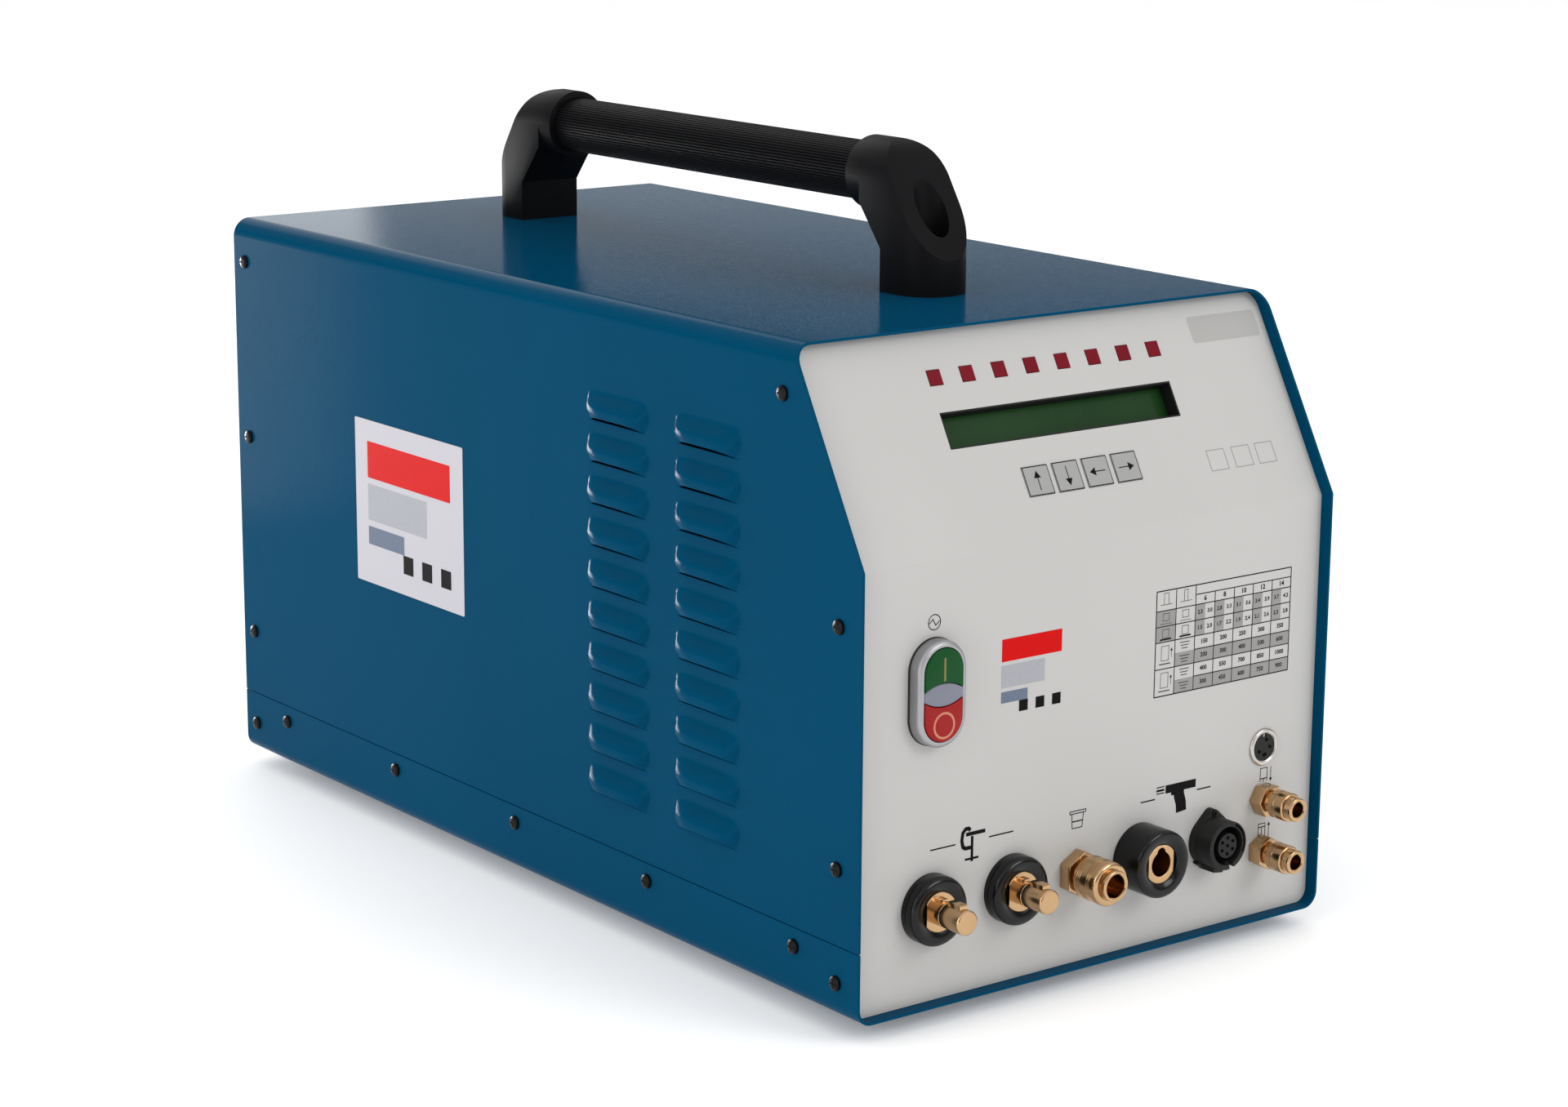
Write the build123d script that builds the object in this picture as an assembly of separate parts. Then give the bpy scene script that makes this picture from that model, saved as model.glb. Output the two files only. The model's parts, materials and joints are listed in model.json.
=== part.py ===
from build123d import *
import math
import os

# Inverter power source for drawn-arc stud welding, in millimetres.
# Origin: middle of the footprint on the floor. +Z is up, the front panel faces -Y, +X is to its right.

# Case: a sheet steel tube with rounded edges, open at both ends and cut in two at the seam
case_width = 320.0
case_depth = 616.0
case_height = 334.0
sheet = 1.5
top_setback = 57.5
slant_height = 103.5
seam_height = 38.5
seam_gap = 0.4
top_edge_radius = 11.0
bottom_edge_radius = 9.0
panel_recess = 7.0
rear_recess = 4.0
rim_depth = 22.0
panel_clearance = 0.2
seam_lip_below = 24.0
seam_lip_above = 8.0
lip_end_gap = 3.0

# Louvres pressed out of both sides, open downwards
louvre_length = 55.0
louvre_height = 17.0
louvre_proud = 6.0
louvre_inset = 8.0
louvre_corner = 7.0
louvre_pitch = 22.65
louvre_top_drop = 47.0
louvre_seam_margin = 20.0
louvre_column_setback = 126.5
louvre_column_pitch = 79.5
louvre_columns = 2

# Feet
foot_height = 10.0
foot_size = 30.0
foot_inset = 42.0

# Carrying handle: a ribbed tube between two moulded brackets
grip_radius = 16.0
grip_groove = 0.7
grip_ribs = 36
grip_axis_height = 59.5
grip_reach = 142.5
grip_in_socket = 14.0
boss_wall = 4.0
leg_inner = 30.5
leg_outer = 65.5
leg_straight_inner = 23.0
leg_straight_outer = 19.0
leg_slope_inner = 46.0
leg_neck = 12.0
leg_slope_outer_reach = 35.25
leg_slope_outer_height = 65.0
leg_crown_radius = 19.0
leg_corner_radius = 18.0
handle_screw_reach = 48.5
handle_counterbore_radius = 9.5
handle_screw_floor = 12.0

# Fits
running_gap = 0.1
seat_gap = 0.1
moving_gap = 0.3
panel_hole_clearance = 0.2

# Stations on the lower front panel: x from the middle, height above the case bottom
connector_height = 51.0
plug_left_x = -109.5
plug_right_x = -55.5
gas_x = -11.5
gun_x = 32.6
control_x = 82.5
air_x = 121.5
air_upper_height = 66.6
air_lower_height = 37.4
din_height = 95.3
button_x = -109.5
button_height = 163.0

# Weld current plugs and gun socket
collar_radius = 18.2
collar_chamfer = 2.5
plug_collar_depth = 9.6
gun_collar_depth = 19.6
collar_dish = 3.0
pin_radius = 6.5
pin_reach = 30.0
pin_tail = 20.0
pin_flange_radius = 10.5
pin_flange_flat = 8.8
pin_flange_sunk = 0.6
pin_shank = 14.0
pin_key_width = 5.0
pin_key_rise = 2.2
pin_key_start = 17.0
pin_key_end = 27.0
gun_bore_depth = 25.0
gun_bore_floor = 4.0
gun_keyway_radius = 2.9
gun_insert_sunk = 2.2

# Shielding gas coupling and the two air couplings: hexagon, barrel and sliding sleeve
gas_hexagon = 22.0
gas_hexagon_length = 7.5
gas_barrel_radius = 8.3
gas_bore_radius = 6.2
gas_reach = 31.0
gas_sleeve_radius = 11.7
gas_sleeve_length = 16.5
gas_sleeve_travel = 3.2
air_hexagon = 16.0
air_hexagon_length = 8.5
air_barrel_radius = 5.7
air_bore_radius = 4.15
air_reach = 28.0
air_sleeve_radius = 7.8
air_sleeve_length = 11.0
air_sleeve_travel = 3.0
coupling_bore_floor = 2.0

# Control socket and signal socket
control_radius = 13.3
control_depth = 15.5
control_foot_border = 0.6
control_opening = 10.5
control_floor = 4.0
control_core_radius = 6.7
control_core_sunk = 0.4
control_ear_height = 13.4
control_ear_radius = 4.0
control_ear_thickness = 4.5
control_slot_inner = 11.3
control_slot_outer = 12.5
control_slot_depth = 6.0
control_latch = 4.0
control_latch_angle = 235.0
control_rib_width = 7.0
control_rib_rise = 2.4
control_rib_reach = 11.0
control_rib_angle = 262.0
control_notch_width = 3.0
control_notch_depth = 3.5
control_notch_angle = 285.0
control_slot_angle = -25.0
din_ring_radius = 10.3
din_ring_proud = 1.6
din_opening = 7.6
din_insert_height = 0.9
din_keyway = 2.2

# Double push button for mains on and off
button_width = 24.0
button_length = 47.5
bezel_border = 3.2
bezel_height = 8.4
bezel_floor = 1.0
bezel_shoulder = 2.8
gasket_thickness = 1.0
cap_thickness = 3.2
cap_proud = 0.8
cap_foot = 1.2
cap_foot_reach = 4.0
cap_travel = 2.6
cap_stem_size = 4.8
cap_stem_offset = 5.6
cap_stem_length = 13.0
lens_middle = 5.8
lens_edge = 2.4
lens_proud = 0.2
switch_width = 30.0
switch_tall = 46.0
switch_depth = 38.0

# Display on the slanted panel: distances run up the slope from the bend, or down from its top
key_row = 32.0
key_pitch = 20.0
key_width = 16.7
key_height = 15.4
key_proud = 0.5
key_travel = 0.5
key_lip = 1.2
key_lip_thickness = 1.2
key_stem_size = 4.0
key_contact_size = 6.0
key_contact_height = 3.5
led_row_drop = 28.0
led_pitch = 21.2
led_width = 8.3
led_height = 8.0
led_count = 8
led_proud = 0.3
lcd_width = 156.6
lcd_height = 19.6
lcd_rise = 2.0
lcd_sunk = 8.0
lcd_glass = 1.6
lcd_lip = 0.8
lcd_lip_sunk = 0.2
lcd_frame = 6.0
board_width = 206.0
board_margin = 9.0
board_thickness = 1.6
board_depth = 15.0
standoff_size = 6.0
standoff_inset = 5.0

# Cooling fan on the rear panel
fan_size = 120.0
fan_thickness = 38.0
fan_height = 200.0
fan_bore_radius = 57.0
fan_hub_radius = 19.0
fan_blade_radius = 55.0
fan_blade_count = 7
fan_blade_chord = 26.0
fan_blade_thickness = 2.0
fan_blade_pitch = 38.0
fan_spoke_width = 6.0
fan_spoke_depth = 4.0
fan_shaft_radius = 3.0
fan_shaft_gap = 0.05
fan_slot_height = 6.0
fan_slot_pitch = 11.0
fan_slot_reach = 54.0

# Rear inlets: cable gland, gas nipple and air nipple, all at one height
inlet_height = 60.0
gland_x = -95.0
gland_bore_radius = 8.0
gland_hexagon = 30.0
gland_hexagon_length = 6.0
gland_cap_radius = 13.0
gland_cap_length = 16.0
gas_inlet_x = 40.0
air_inlet_x = 95.0
nipple_hexagon = 19.0
nipple_hexagon_length = 7.0
nipple_tail_radius = 5.0
nipple_tail_length = 20.0

# Power electronics, contactor and valves on the floor of the case
sink_width = 120.0
sink_length = 150.0
sink_height = 56.0
sink_plate = 9.0
sink_fins = 11
sink_fin_thickness = 3.0
sink_gap = 15.0
module_width = 34.0
module_length = 94.0
module_height = 30.0
module_gap = 8.0
module_count = 3
capacitor_width = 30.0
capacitor_length = 56.0
capacitor_height = 44.0
capacitor_gap = 6.0
capacitor_count = 3
magnetics_setback = 158.0
core_width = 90.0
core_height = 96.0
core_leg = 22.0
core_thickness = 44.0
winding_gap = 2.0
transformer_x = -70.0
transformer_build = 16.0
choke_x = 70.0
choke_build = 11.0
contactor_inset = 55.0
contactor_setback = 138.0
contactor_width = 46.0
contactor_length = 84.0
contactor_height = 74.0
contactor_step = 12.0
valve_setback = 95.0
valve_width = 32.0
valve_length = 44.0
valve_height = 30.0
gas_valve_x = 20.0
air_valve_x = 90.0
coil_size = 26.0
coil_height = 34.0

# Values that follow from the ones above
half_width = case_width / 2
front_y = -case_depth / 2
rear_y = case_depth / 2
floor_z = foot_height
roof_z = foot_height + case_height
bend_height = case_height - slant_height
slant_angle = math.atan2(top_setback, slant_height)
inside_floor = floor_z + sheet
STANDING = (Align.CENTER, Align.CENTER, Align.MIN)


def polygon(points):
    """Flat face in the XY plane with straight sides."""
    return make_face(Polyline(*points, close=True))


def turned(profile):
    """Solid of revolution about Z from (radius, height) corners."""
    return revolve(Plane.XZ * polygon(profile), Axis.Z)


def rod(radius, low, high, x=0.0, y=0.0):
    return Pos(x, y, low) * Cylinder(radius, high - low, align=STANDING)


def block(width, length, low, high, x=0.0, y=0.0):
    return Pos(x, y, low) * Box(width, length, high - low, align=STANDING)


def hexagon(across_flats, low, high):
    outline = RegularPolygon(across_flats / math.sqrt(3), 6)
    return Pos(0, 0, low) * extrude(outline, amount=high - low)


def whole(solids):
    """Several loose solids of one sub-part."""
    return Compound(children=[solid for piece in solids for solid in piece.solids()])


# Case shell
def case_core(inset):
    """Solid that fills the case tube from end to end, a given distance inside its skin."""
    outline = Rectangle(case_width - 2 * inset, case_height - 2 * inset)
    low_corners = outline.vertices().group_by(Axis.Y)[0]
    outline = fillet(low_corners, bottom_edge_radius - inset)
    high_corners = outline.vertices().group_by(Axis.Y)[-1]
    outline = fillet(high_corners, top_edge_radius - inset)
    core = extrude(Plane.XZ * outline, amount=case_depth, both=True)
    return Pos(0, 0, floor_z + case_height / 2) * core


def front_line(depth, low, high):
    """The bent front edge in (y, z), moved a given distance back, square to itself."""
    bend_y = front_y + depth
    bend_z = floor_z + bend_height - depth * math.tan(slant_angle / 2)
    return [(bend_y, low), (bend_y, bend_z), (bend_y + (high - bend_z) * math.tan(slant_angle), high)]


def across(outline):
    """A (y, z) outline drawn out over more than the width of the case."""
    return extrude(Plane.YZ * polygon(outline), amount=case_width, both=True)


def front_band(near, far):
    """Slab between two such lines, from under the case to above it."""
    low, high = floor_z - sheet, roof_z + sheet
    return across(front_line(near, low, high) + front_line(far, low, high)[::-1])


def case_shell():
    tube = case_core(0) - case_core(sheet)
    return tube & across(front_line(0, floor_z, roof_z) + [(rear_y, roof_z), (rear_y, floor_z)])


def side_plane(side, y, z):
    """Plane on the outer skin of one side: X along the case, Y up, Z outwards."""
    return Plane(origin=(side * half_width, y, z), x_dir=(0, side, 0), z_dir=(side, 0, 0))


def louvre_blister():
    """Drafted blister with bevelled upper corners, cut off square at its open lower edge."""
    end = louvre_length / 2
    right = [(end, -louvre_inset), (end, louvre_height - louvre_corner), (end - louvre_corner, louvre_height)]
    outline = polygon(right + [(-x, y) for x, y in right[::-1]])
    draft = math.degrees(math.atan2(louvre_inset, louvre_proud))
    raised = extrude(outline, amount=louvre_proud, taper=draft)
    kept = Box(louvre_length, louvre_height, louvre_proud, align=(Align.CENTER, Align.MIN, Align.MIN))
    return raised & kept


def louvre_planes():
    """One plane on the open edge of every louvre."""
    highest = case_height - louvre_top_drop - louvre_height
    rows = 1 + int((highest - seam_height - louvre_seam_margin) // louvre_pitch)
    for side in (-1, 1):
        for column in range(louvre_columns):
            y = front_y + louvre_column_setback + column * louvre_column_pitch
            for row in range(rows):
                yield side_plane(side, y, floor_z + highest - row * louvre_pitch)


def seam_lips():
    """Strips spot-welded inside the hood that reach down behind the sides of the tray."""
    start = front_y + panel_recess + rim_depth + lip_end_gap
    end = rear_y - rear_recess - rim_depth - lip_end_gap
    low = floor_z + seam_height - seam_lip_below
    high = floor_z + seam_height + seam_lip_above
    x = half_width - 1.5 * sheet
    return [block(sheet, end - start, low, high, side * x, (start + end) / 2) for side in (-1, 1)]


def make_base_tray():
    top = floor_z + seam_height - seam_gap
    return case_shell() & block(case_width, case_depth, floor_z, top)


def make_cover_hood():
    hood = case_shell() & block(case_width, case_depth, floor_z + seam_height, roof_z)
    hood = hood.fuse(*seam_lips())
    blister = louvre_blister()
    sunk = sheet * math.hypot(louvre_proud, louvre_inset) / louvre_inset
    hood = hood.fuse(*[plane.location * blister for plane in louvre_planes()])
    return hood.cut(*[plane.location * Pos(0, 0, -sunk) * blister for plane in louvre_planes()])


def rimmed_pan(slab, hollow):
    """Panel sheet with a rim folded back along the inside of the case."""
    inset = sheet + panel_clearance
    return (slab & case_core(inset)) - (hollow & case_core(inset + sheet))


def make_rubber_feet():
    x = half_width - foot_inset
    y = case_depth / 2 - foot_inset
    return whole([block(foot_size, foot_size, 0, foot_height, side * x, end * y)
                  for side in (-1, 1) for end in (-1, 1)])


# Carrying handle
handle_y = (front_y + top_setback + rear_y) / 2
boss_radius = grip_radius + boss_wall
boss_top = grip_axis_height + boss_radius


def leg_side():
    """Side view of a bracket leg: X away from the grip, Y up."""
    fall = (leg_outer - leg_slope_outer_reach) / (leg_slope_outer_height - leg_straight_outer)
    crown_x = leg_slope_outer_reach - fall * (boss_top - leg_slope_outer_height)
    outline = polygon([(leg_inner, 0), (leg_inner, leg_straight_inner), (leg_neck, leg_slope_inner),
                       (leg_neck, boss_top), (crown_x, boss_top), (leg_outer, leg_straight_outer),
                       (leg_outer, 0)])
    crown = outline.vertices().sort_by_distance((crown_x, boss_top, 0))[0]
    return fillet(crown, leg_crown_radius)


def make_bracket():
    """Leg shaped by its three views, with a round boss that takes the end of the grip."""
    side = extrude(Plane.XZ * leg_side(), amount=boss_radius, both=True)
    plan = Rectangle(leg_outer, 2 * boss_radius, align=(Align.MIN, Align.CENTER))
    plan = fillet(plan.vertices().group_by(Axis.X)[-1], leg_corner_radius)
    end = Rectangle(2 * boss_radius, grip_axis_height, align=(Align.CENTER, Align.MIN))
    end += Pos(0, grip_axis_height) * Circle(boss_radius)
    leg = side & extrude(plan, amount=boss_top) & extrude(Plane.YZ * end, amount=leg_outer)
    along = Pos(0, 0, grip_axis_height) * Rot(0, 90, 0)
    bracket = leg + along * rod(boss_radius, 0, leg_neck)
    bracket -= along * rod(grip_radius + seat_gap, 0, grip_in_socket)
    return bracket - rod(handle_counterbore_radius, handle_screw_floor, boss_top, handle_screw_reach)


def make_grip():
    """Tube covered with lengthwise ribs."""
    step = math.pi / grip_ribs
    corners = []
    for i in range(2 * grip_ribs):
        radius = grip_radius - grip_groove * (i % 2)
        corners.append((radius * math.cos(i * step), radius * math.sin(i * step)))
    grip = extrude(Plane.XZ * polygon(corners), amount=grip_reach + grip_in_socket, both=True)
    return Pos(0, handle_y, roof_z + grip_axis_height) * grip


# Front panel and its planes: X to the right, Y up the sheet, Z out of its face
bend_y, bend_z = front_line(panel_recess, floor_z, roof_z)[1]
lower_face = Plane(origin=(0, bend_y, floor_z), x_dir=(1, 0, 0), z_dir=(0, -1, 0))
slope_face = Plane(origin=(0, bend_y, bend_z), x_dir=(1, 0, 0),
                   z_dir=(0, -math.cos(slant_angle), math.sin(slant_angle)))
slope_length = (roof_z - bend_z) / math.cos(slant_angle)
led_row = slope_length - led_row_drop
lcd_row = (key_row + led_row) / 2 + lcd_rise


def on_panel(x, height):
    return lower_face.location * Pos(x, height, 0)


def on_slope(x, rise):
    return slope_face.location * Pos(x, rise, 0)


def key_places():
    """Four keys in a row, centred on the panel."""
    names = ("up", "down", "left", "right")
    first = -key_pitch * (len(names) - 1) / 2
    return {name: first + i * key_pitch for i, name in enumerate(names)}


def led_places():
    first = -led_pitch * (led_count - 1) / 2
    return [first + i * led_pitch for i in range(led_count)]


def window(width, height):
    """Cutter for a rectangular opening in the panel sheet, given its free size."""
    return block(width, height, -2 * sheet, sheet)


def shank_opening(across_flats):
    return shank(across_flats + 2 * panel_hole_clearance, -2 * sheet, sheet)


def panel_openings():
    openings = [on_panel(x, connector_height) * shank_opening(pin_shank)
                for x in (plug_left_x, plug_right_x)]
    openings.append(on_panel(gun_x, connector_height) * shank_opening(gun_shank))
    openings += [on_panel(button_x, button_height) * slot for slot in stem_slots(-2 * sheet, sheet)]
    openings.append(on_slope(0, lcd_row) * window(lcd_width, lcd_height))
    openings += [on_slope(x, led_row) * window(led_width + 2 * moving_gap, led_height + 2 * moving_gap)
                 for x in led_places()]
    openings += [on_slope(x, key_row) * window(key_width + 2 * moving_gap, key_height + 2 * moving_gap)
                 for x in key_places().values()]
    return openings


def make_front_panel():
    slab = front_band(panel_recess, panel_recess + rim_depth)
    hollow = front_band(panel_recess + sheet, panel_recess + rim_depth + sheet)
    return rimmed_pan(slab, hollow).cut(*panel_openings())


# Weld current connectors
seat_radius = pin_flange_radius + seat_gap
gun_shank = 2 * pin_flange_flat
gun_top = gun_collar_depth - gun_insert_sunk
gun_shank_end = gun_top - gun_bore_depth - gun_bore_floor


def shank(across_flats, low, high):
    """Hexagon with a corner upwards, which keeps a brass part from turning."""
    return Rot(0, 0, 30) * hexagon(across_flats, low, high)


def make_collar(depth, across_flats):
    """Insulating collar with a chamfered rim, a round seat in front and a hexagon bore."""
    seat = depth - collar_dish
    collar = turned([(0, 0), (collar_radius, 0), (collar_radius, depth - collar_chamfer),
                     (collar_radius - collar_chamfer, depth), (0, depth)])
    collar -= rod(seat_radius, seat, depth)
    return collar - shank(across_flats + 2 * seat_gap, 0, seat)


def with_flats(piece, low, high):
    """Mill the two side flats of a brass flange."""
    size = 2 * pin_flange_radius
    return piece.cut(*[block(size, size, low, high, side * (pin_flange_flat + size / 2))
                       for side in (-1, 1)])


def make_weld_pin():
    """Bayonet pin with its locking key, flange and a shank through the panel."""
    seat = plug_collar_depth - collar_dish
    top = plug_collar_depth - pin_flange_sunk
    pin = turned([(0, seat), (pin_flange_radius, seat), (pin_flange_radius, top), (pin_radius, top),
                  (pin_radius, pin_reach), (0, pin_reach)])
    pin += shank(pin_shank, -pin_tail, seat)
    reach = pin_radius + pin_key_rise
    pin += block(pin_key_width, reach, pin_key_start, pin_key_end, 0, reach / 2)
    return with_flats(pin, seat, top)


def make_gun_insert():
    """Brass socket with a keyhole bore for the gun's bayonet plug."""
    seat = gun_collar_depth - collar_dish
    bore = pin_radius + running_gap
    bottom = gun_top - gun_bore_depth
    insert = rod(pin_flange_radius, seat, gun_top) + shank(gun_shank, gun_shank_end, seat)
    insert -= rod(bore, bottom, gun_top)
    keyway_y = pin_radius + pin_key_rise + running_gap - gun_keyway_radius
    insert -= rod(gun_keyway_radius, bottom, gun_top, 0, keyway_y)
    return with_flats(insert, seat, gun_top)


# Quick couplings
def make_coupling_body(across_flats, hexagon_length, barrel, bore, reach):
    """Hexagon on the panel and barrel with an open bore."""
    body = rod(barrel, hexagon_length, reach) + hexagon(across_flats, 0, hexagon_length)
    return body - rod(bore, hexagon_length + coupling_bore_floor, reach)


def make_sleeve(barrel, radius, start, length):
    """Sleeve that slides on the barrel."""
    return rod(radius, start, start + length) - rod(barrel + running_gap, start, start + length)


def make_gas_sleeve():
    start = gas_hexagon_length + gas_sleeve_travel + moving_gap
    return make_sleeve(gas_barrel_radius, gas_sleeve_radius, start, gas_sleeve_length)


def make_air_sleeve():
    start = air_hexagon_length + air_sleeve_travel + moving_gap
    return make_sleeve(air_barrel_radius, air_sleeve_radius, start, air_sleeve_length)


# Control socket and signal socket
def make_control_shell():
    """Round shell with a pointed screw ear on top, a coupling slot, a latch, a rib and a notch below."""
    ear = Pos(0, control_ear_height) * Circle(control_ear_radius)
    foot = make_hull(Circle(control_radius + control_foot_border).edges() + ear.edges())
    shell = extrude(foot, amount=control_ear_thickness) + rod(control_radius, 0, control_depth)
    latch = block(control_latch, control_latch, 0, control_ear_thickness, control_radius)
    shell += Rot(0, 0, control_latch_angle) * latch
    rib = block(2 * control_rib_rise, control_rib_width, 0, control_rib_reach, control_radius)
    shell += Rot(0, 0, control_rib_angle) * rib
    shell -= rod(control_opening, 0, control_depth)
    notch = block(control_radius, control_notch_width, control_depth - control_notch_depth, control_depth,
                  control_radius)
    shell -= Rot(0, 0, control_notch_angle) * notch
    slot = Circle(control_slot_outer) - Circle(control_slot_inner)
    slot &= Rot(0, 0, control_slot_angle) * Rectangle(control_radius, control_radius, align=Align.MIN)
    return shell - Pos(0, 0, control_depth - control_slot_depth) * extrude(slot, amount=control_slot_depth)


def make_control_insert():
    """Contact carrier: a floor that fills the shell and a core that the plug's rim goes round."""
    core = rod(control_core_radius, control_floor, control_depth - control_core_sunk)
    return rod(control_opening - seat_gap, 0, control_floor) + core


def make_din_ring():
    return rod(din_ring_radius, 0, din_ring_proud) - rod(din_opening, 0, din_ring_proud)


def make_din_insert():
    """Round insert with the keyway of its plug."""
    insert = rod(din_opening - seat_gap, 0, din_insert_height)
    return insert - block(din_keyway, din_keyway, 0, din_insert_height, 0, din_opening - din_keyway / 2)


# Double push button: bezel, two caps and a lens between them
cap_low = bezel_height + cap_proud - cap_thickness
stem_end = cap_low - cap_stem_length
lens_radius = (button_width ** 2 / 4 + (lens_middle - lens_edge) ** 2) / (2 * (lens_middle - lens_edge))
lens_centre = lens_middle - lens_radius


def pill(growth):
    """Upright outline with round ends, the caps' common outline grown by a margin."""
    return SlotOverall(button_length + 2 * growth, button_width + 2 * growth, rotation=90)


def upward(outline, low, high):
    return Pos(0, 0, low) * extrude(outline, amount=high - low)


def stem_slots(low, high):
    """Cutters for the square guides of both cap stems."""
    size = cap_stem_size + 2 * running_gap
    return [block(size, size, low, high, 0, side * cap_stem_offset) for side in (-1, 1)]


def make_button_gasket():
    gasket = upward(pill(moving_gap + bezel_border), 0, gasket_thickness)
    return gasket.cut(*stem_slots(0, gasket_thickness))


def make_button_bezel():
    body = upward(pill(moving_gap + bezel_border), gasket_thickness, bezel_height)
    body = chamfer(body.edges().group_by(Axis.Z)[-1], bezel_shoulder)
    floor = gasket_thickness + bezel_floor
    body -= upward(pill(moving_gap), floor, bezel_height)
    return body.cut(*stem_slots(gasket_thickness, floor))


def make_cap():
    """Upper cap: its lower edge follows the lens, and its foot runs under the lens to the stem."""
    outline = pill(0) - Pos(0, lens_centre) * Circle(lens_radius + moving_gap)
    cap = upward(outline, cap_low, bezel_height + cap_proud)
    heel = cap_stem_offset - cap_stem_size / 2
    foot = Box(cap_stem_size, lens_middle + cap_foot_reach - heel, cap_foot,
               align=(Align.CENTER, Align.MIN, Align.MAX))
    cap += Pos(0, heel, cap_low) * foot
    return cap + block(cap_stem_size, cap_stem_size, stem_end, cap_low - cap_foot, 0, cap_stem_offset)


def make_button_lens():
    """Lens between two arcs, clipped into the sides of the bezel."""
    outline = pill(moving_gap) & Pos(0, lens_centre) * Circle(lens_radius)
    outline &= Pos(0, -lens_centre) * Circle(lens_radius)
    return upward(outline, cap_low + moving_gap, bezel_height + lens_proud)


def make_switch_block():
    """Contact block behind the panel, with a well for each stem."""
    body = block(switch_width, switch_tall, -sheet - switch_depth, -sheet)
    return body.cut(*stem_slots(stem_end - cap_travel - moving_gap, -sheet))


# Display: keys, lamps and text window in front of one board
def make_key():
    lip_high = -sheet - moving_gap
    lip_low = lip_high - key_lip_thickness
    key = block(key_width, key_height, lip_high, key_proud)
    key += block(key_width + 2 * key_lip, key_height + 2 * key_lip, lip_low, lip_high)
    stem_low = -board_depth + key_contact_height + key_travel + moving_gap
    return key + block(key_stem_size, key_stem_size, stem_low, lip_low)


def make_display_board():
    length = slope_length - 2 * board_margin
    top = -board_depth
    board = on_slope(0, slope_length / 2) * block(board_width, length, top - board_thickness, top)
    contact = block(key_contact_size, key_contact_size, top, top + key_contact_height)
    return board.fuse(*[on_slope(x, key_row) * contact for x in key_places().values()])


def make_board_standoffs():
    x = board_width / 2 - standoff_inset
    rises = (board_margin + standoff_inset, slope_length - board_margin - standoff_inset)
    post = hexagon(standoff_size, -board_depth, -sheet)
    return whole([on_slope(side * x, rise) * post for side in (-1, 1) for rise in rises])


def make_lcd_module():
    """Frame whose lip lines the window in the panel, with a pocket for the glass."""
    margin = 2 * seat_gap
    frame = block(lcd_width + 2 * lcd_frame, lcd_height + 2 * lcd_frame, -board_depth, -sheet - seat_gap)
    frame += block(lcd_width - margin, lcd_height - margin, -sheet - seat_gap, -lcd_lip_sunk)
    margin += 2 * lcd_lip
    frame -= block(lcd_width - margin, lcd_height - margin, -lcd_sunk - lcd_glass, 0)
    return on_slope(0, lcd_row) * frame


def make_lcd_window():
    margin = 2 * (2 * seat_gap + lcd_lip)
    return on_slope(0, lcd_row) * block(lcd_width - margin, lcd_height - margin,
                                        -lcd_sunk - lcd_glass, -lcd_sunk)


def make_indicator_lamps():
    lamp = block(led_width, led_height, -board_depth, led_proud)
    return whole([on_slope(x, led_row) * lamp for x in led_places()])


# Rear panel, with X to the left seen from the front, Y up and Z out of the rear
rear_face = Plane(origin=(0, rear_y - rear_recess, floor_z), x_dir=(-1, 0, 0), z_dir=(0, 1, 0))


def on_rear(x, height):
    return rear_face.location * Pos(-x, height, 0)


def fan_slots():
    """Level air slots that fill a circle behind the fan."""
    count = int((fan_slot_reach - fan_slot_height) // fan_slot_pitch)
    slots = []
    for i in range(-count, count + 1):
        rise = i * fan_slot_pitch
        length = 2 * math.sqrt(fan_slot_reach ** 2 - rise ** 2)
        slots.append(on_rear(0, fan_height + rise) * window(length, fan_slot_height))
    return slots


def make_rear_panel():
    skin = rear_y - rear_recess
    slab = block(case_width, rim_depth, floor_z, roof_z, 0, skin - rim_depth / 2)
    hollow = block(case_width, rim_depth, floor_z, roof_z, 0, skin - sheet - rim_depth / 2)
    gland_hole = on_rear(gland_x, inlet_height) * rod(gland_bore_radius, -2 * sheet, sheet)
    return rimmed_pan(slab, hollow).cut(gland_hole, *fan_slots())


def make_cable_gland():
    """Hexagon and round cap with an open bore."""
    end = gland_hexagon_length + gland_cap_length
    gland = hexagon(gland_hexagon, 0, gland_hexagon_length) + rod(gland_cap_radius, gland_hexagon_length, end)
    return gland - rod(gland_bore_radius, 0, end)


def make_hose_nipple():
    """Hexagon with a plain tail for a hose."""
    tail = rod(nipple_tail_radius, nipple_hexagon_length, nipple_hexagon_length + nipple_tail_length)
    return tail + hexagon(nipple_hexagon, 0, nipple_hexagon_length)


# Fan behind the rear panel
def make_fan_frame():
    back = -sheet
    frame = block(fan_size, fan_size, back - fan_thickness, back) - rod(
        fan_bore_radius, back - fan_thickness, back)
    frame += block(2 * fan_hub_radius, 2 * fan_hub_radius, back - fan_spoke_depth, back)
    spoke = block(2 * fan_bore_radius + fan_spoke_width, fan_spoke_width, back - fan_spoke_depth, back)
    frame = frame.fuse(spoke, Rot(0, 0, 90) * spoke)
    return frame - rod(fan_shaft_radius + fan_shaft_gap, back - fan_spoke_depth, back)


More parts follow.
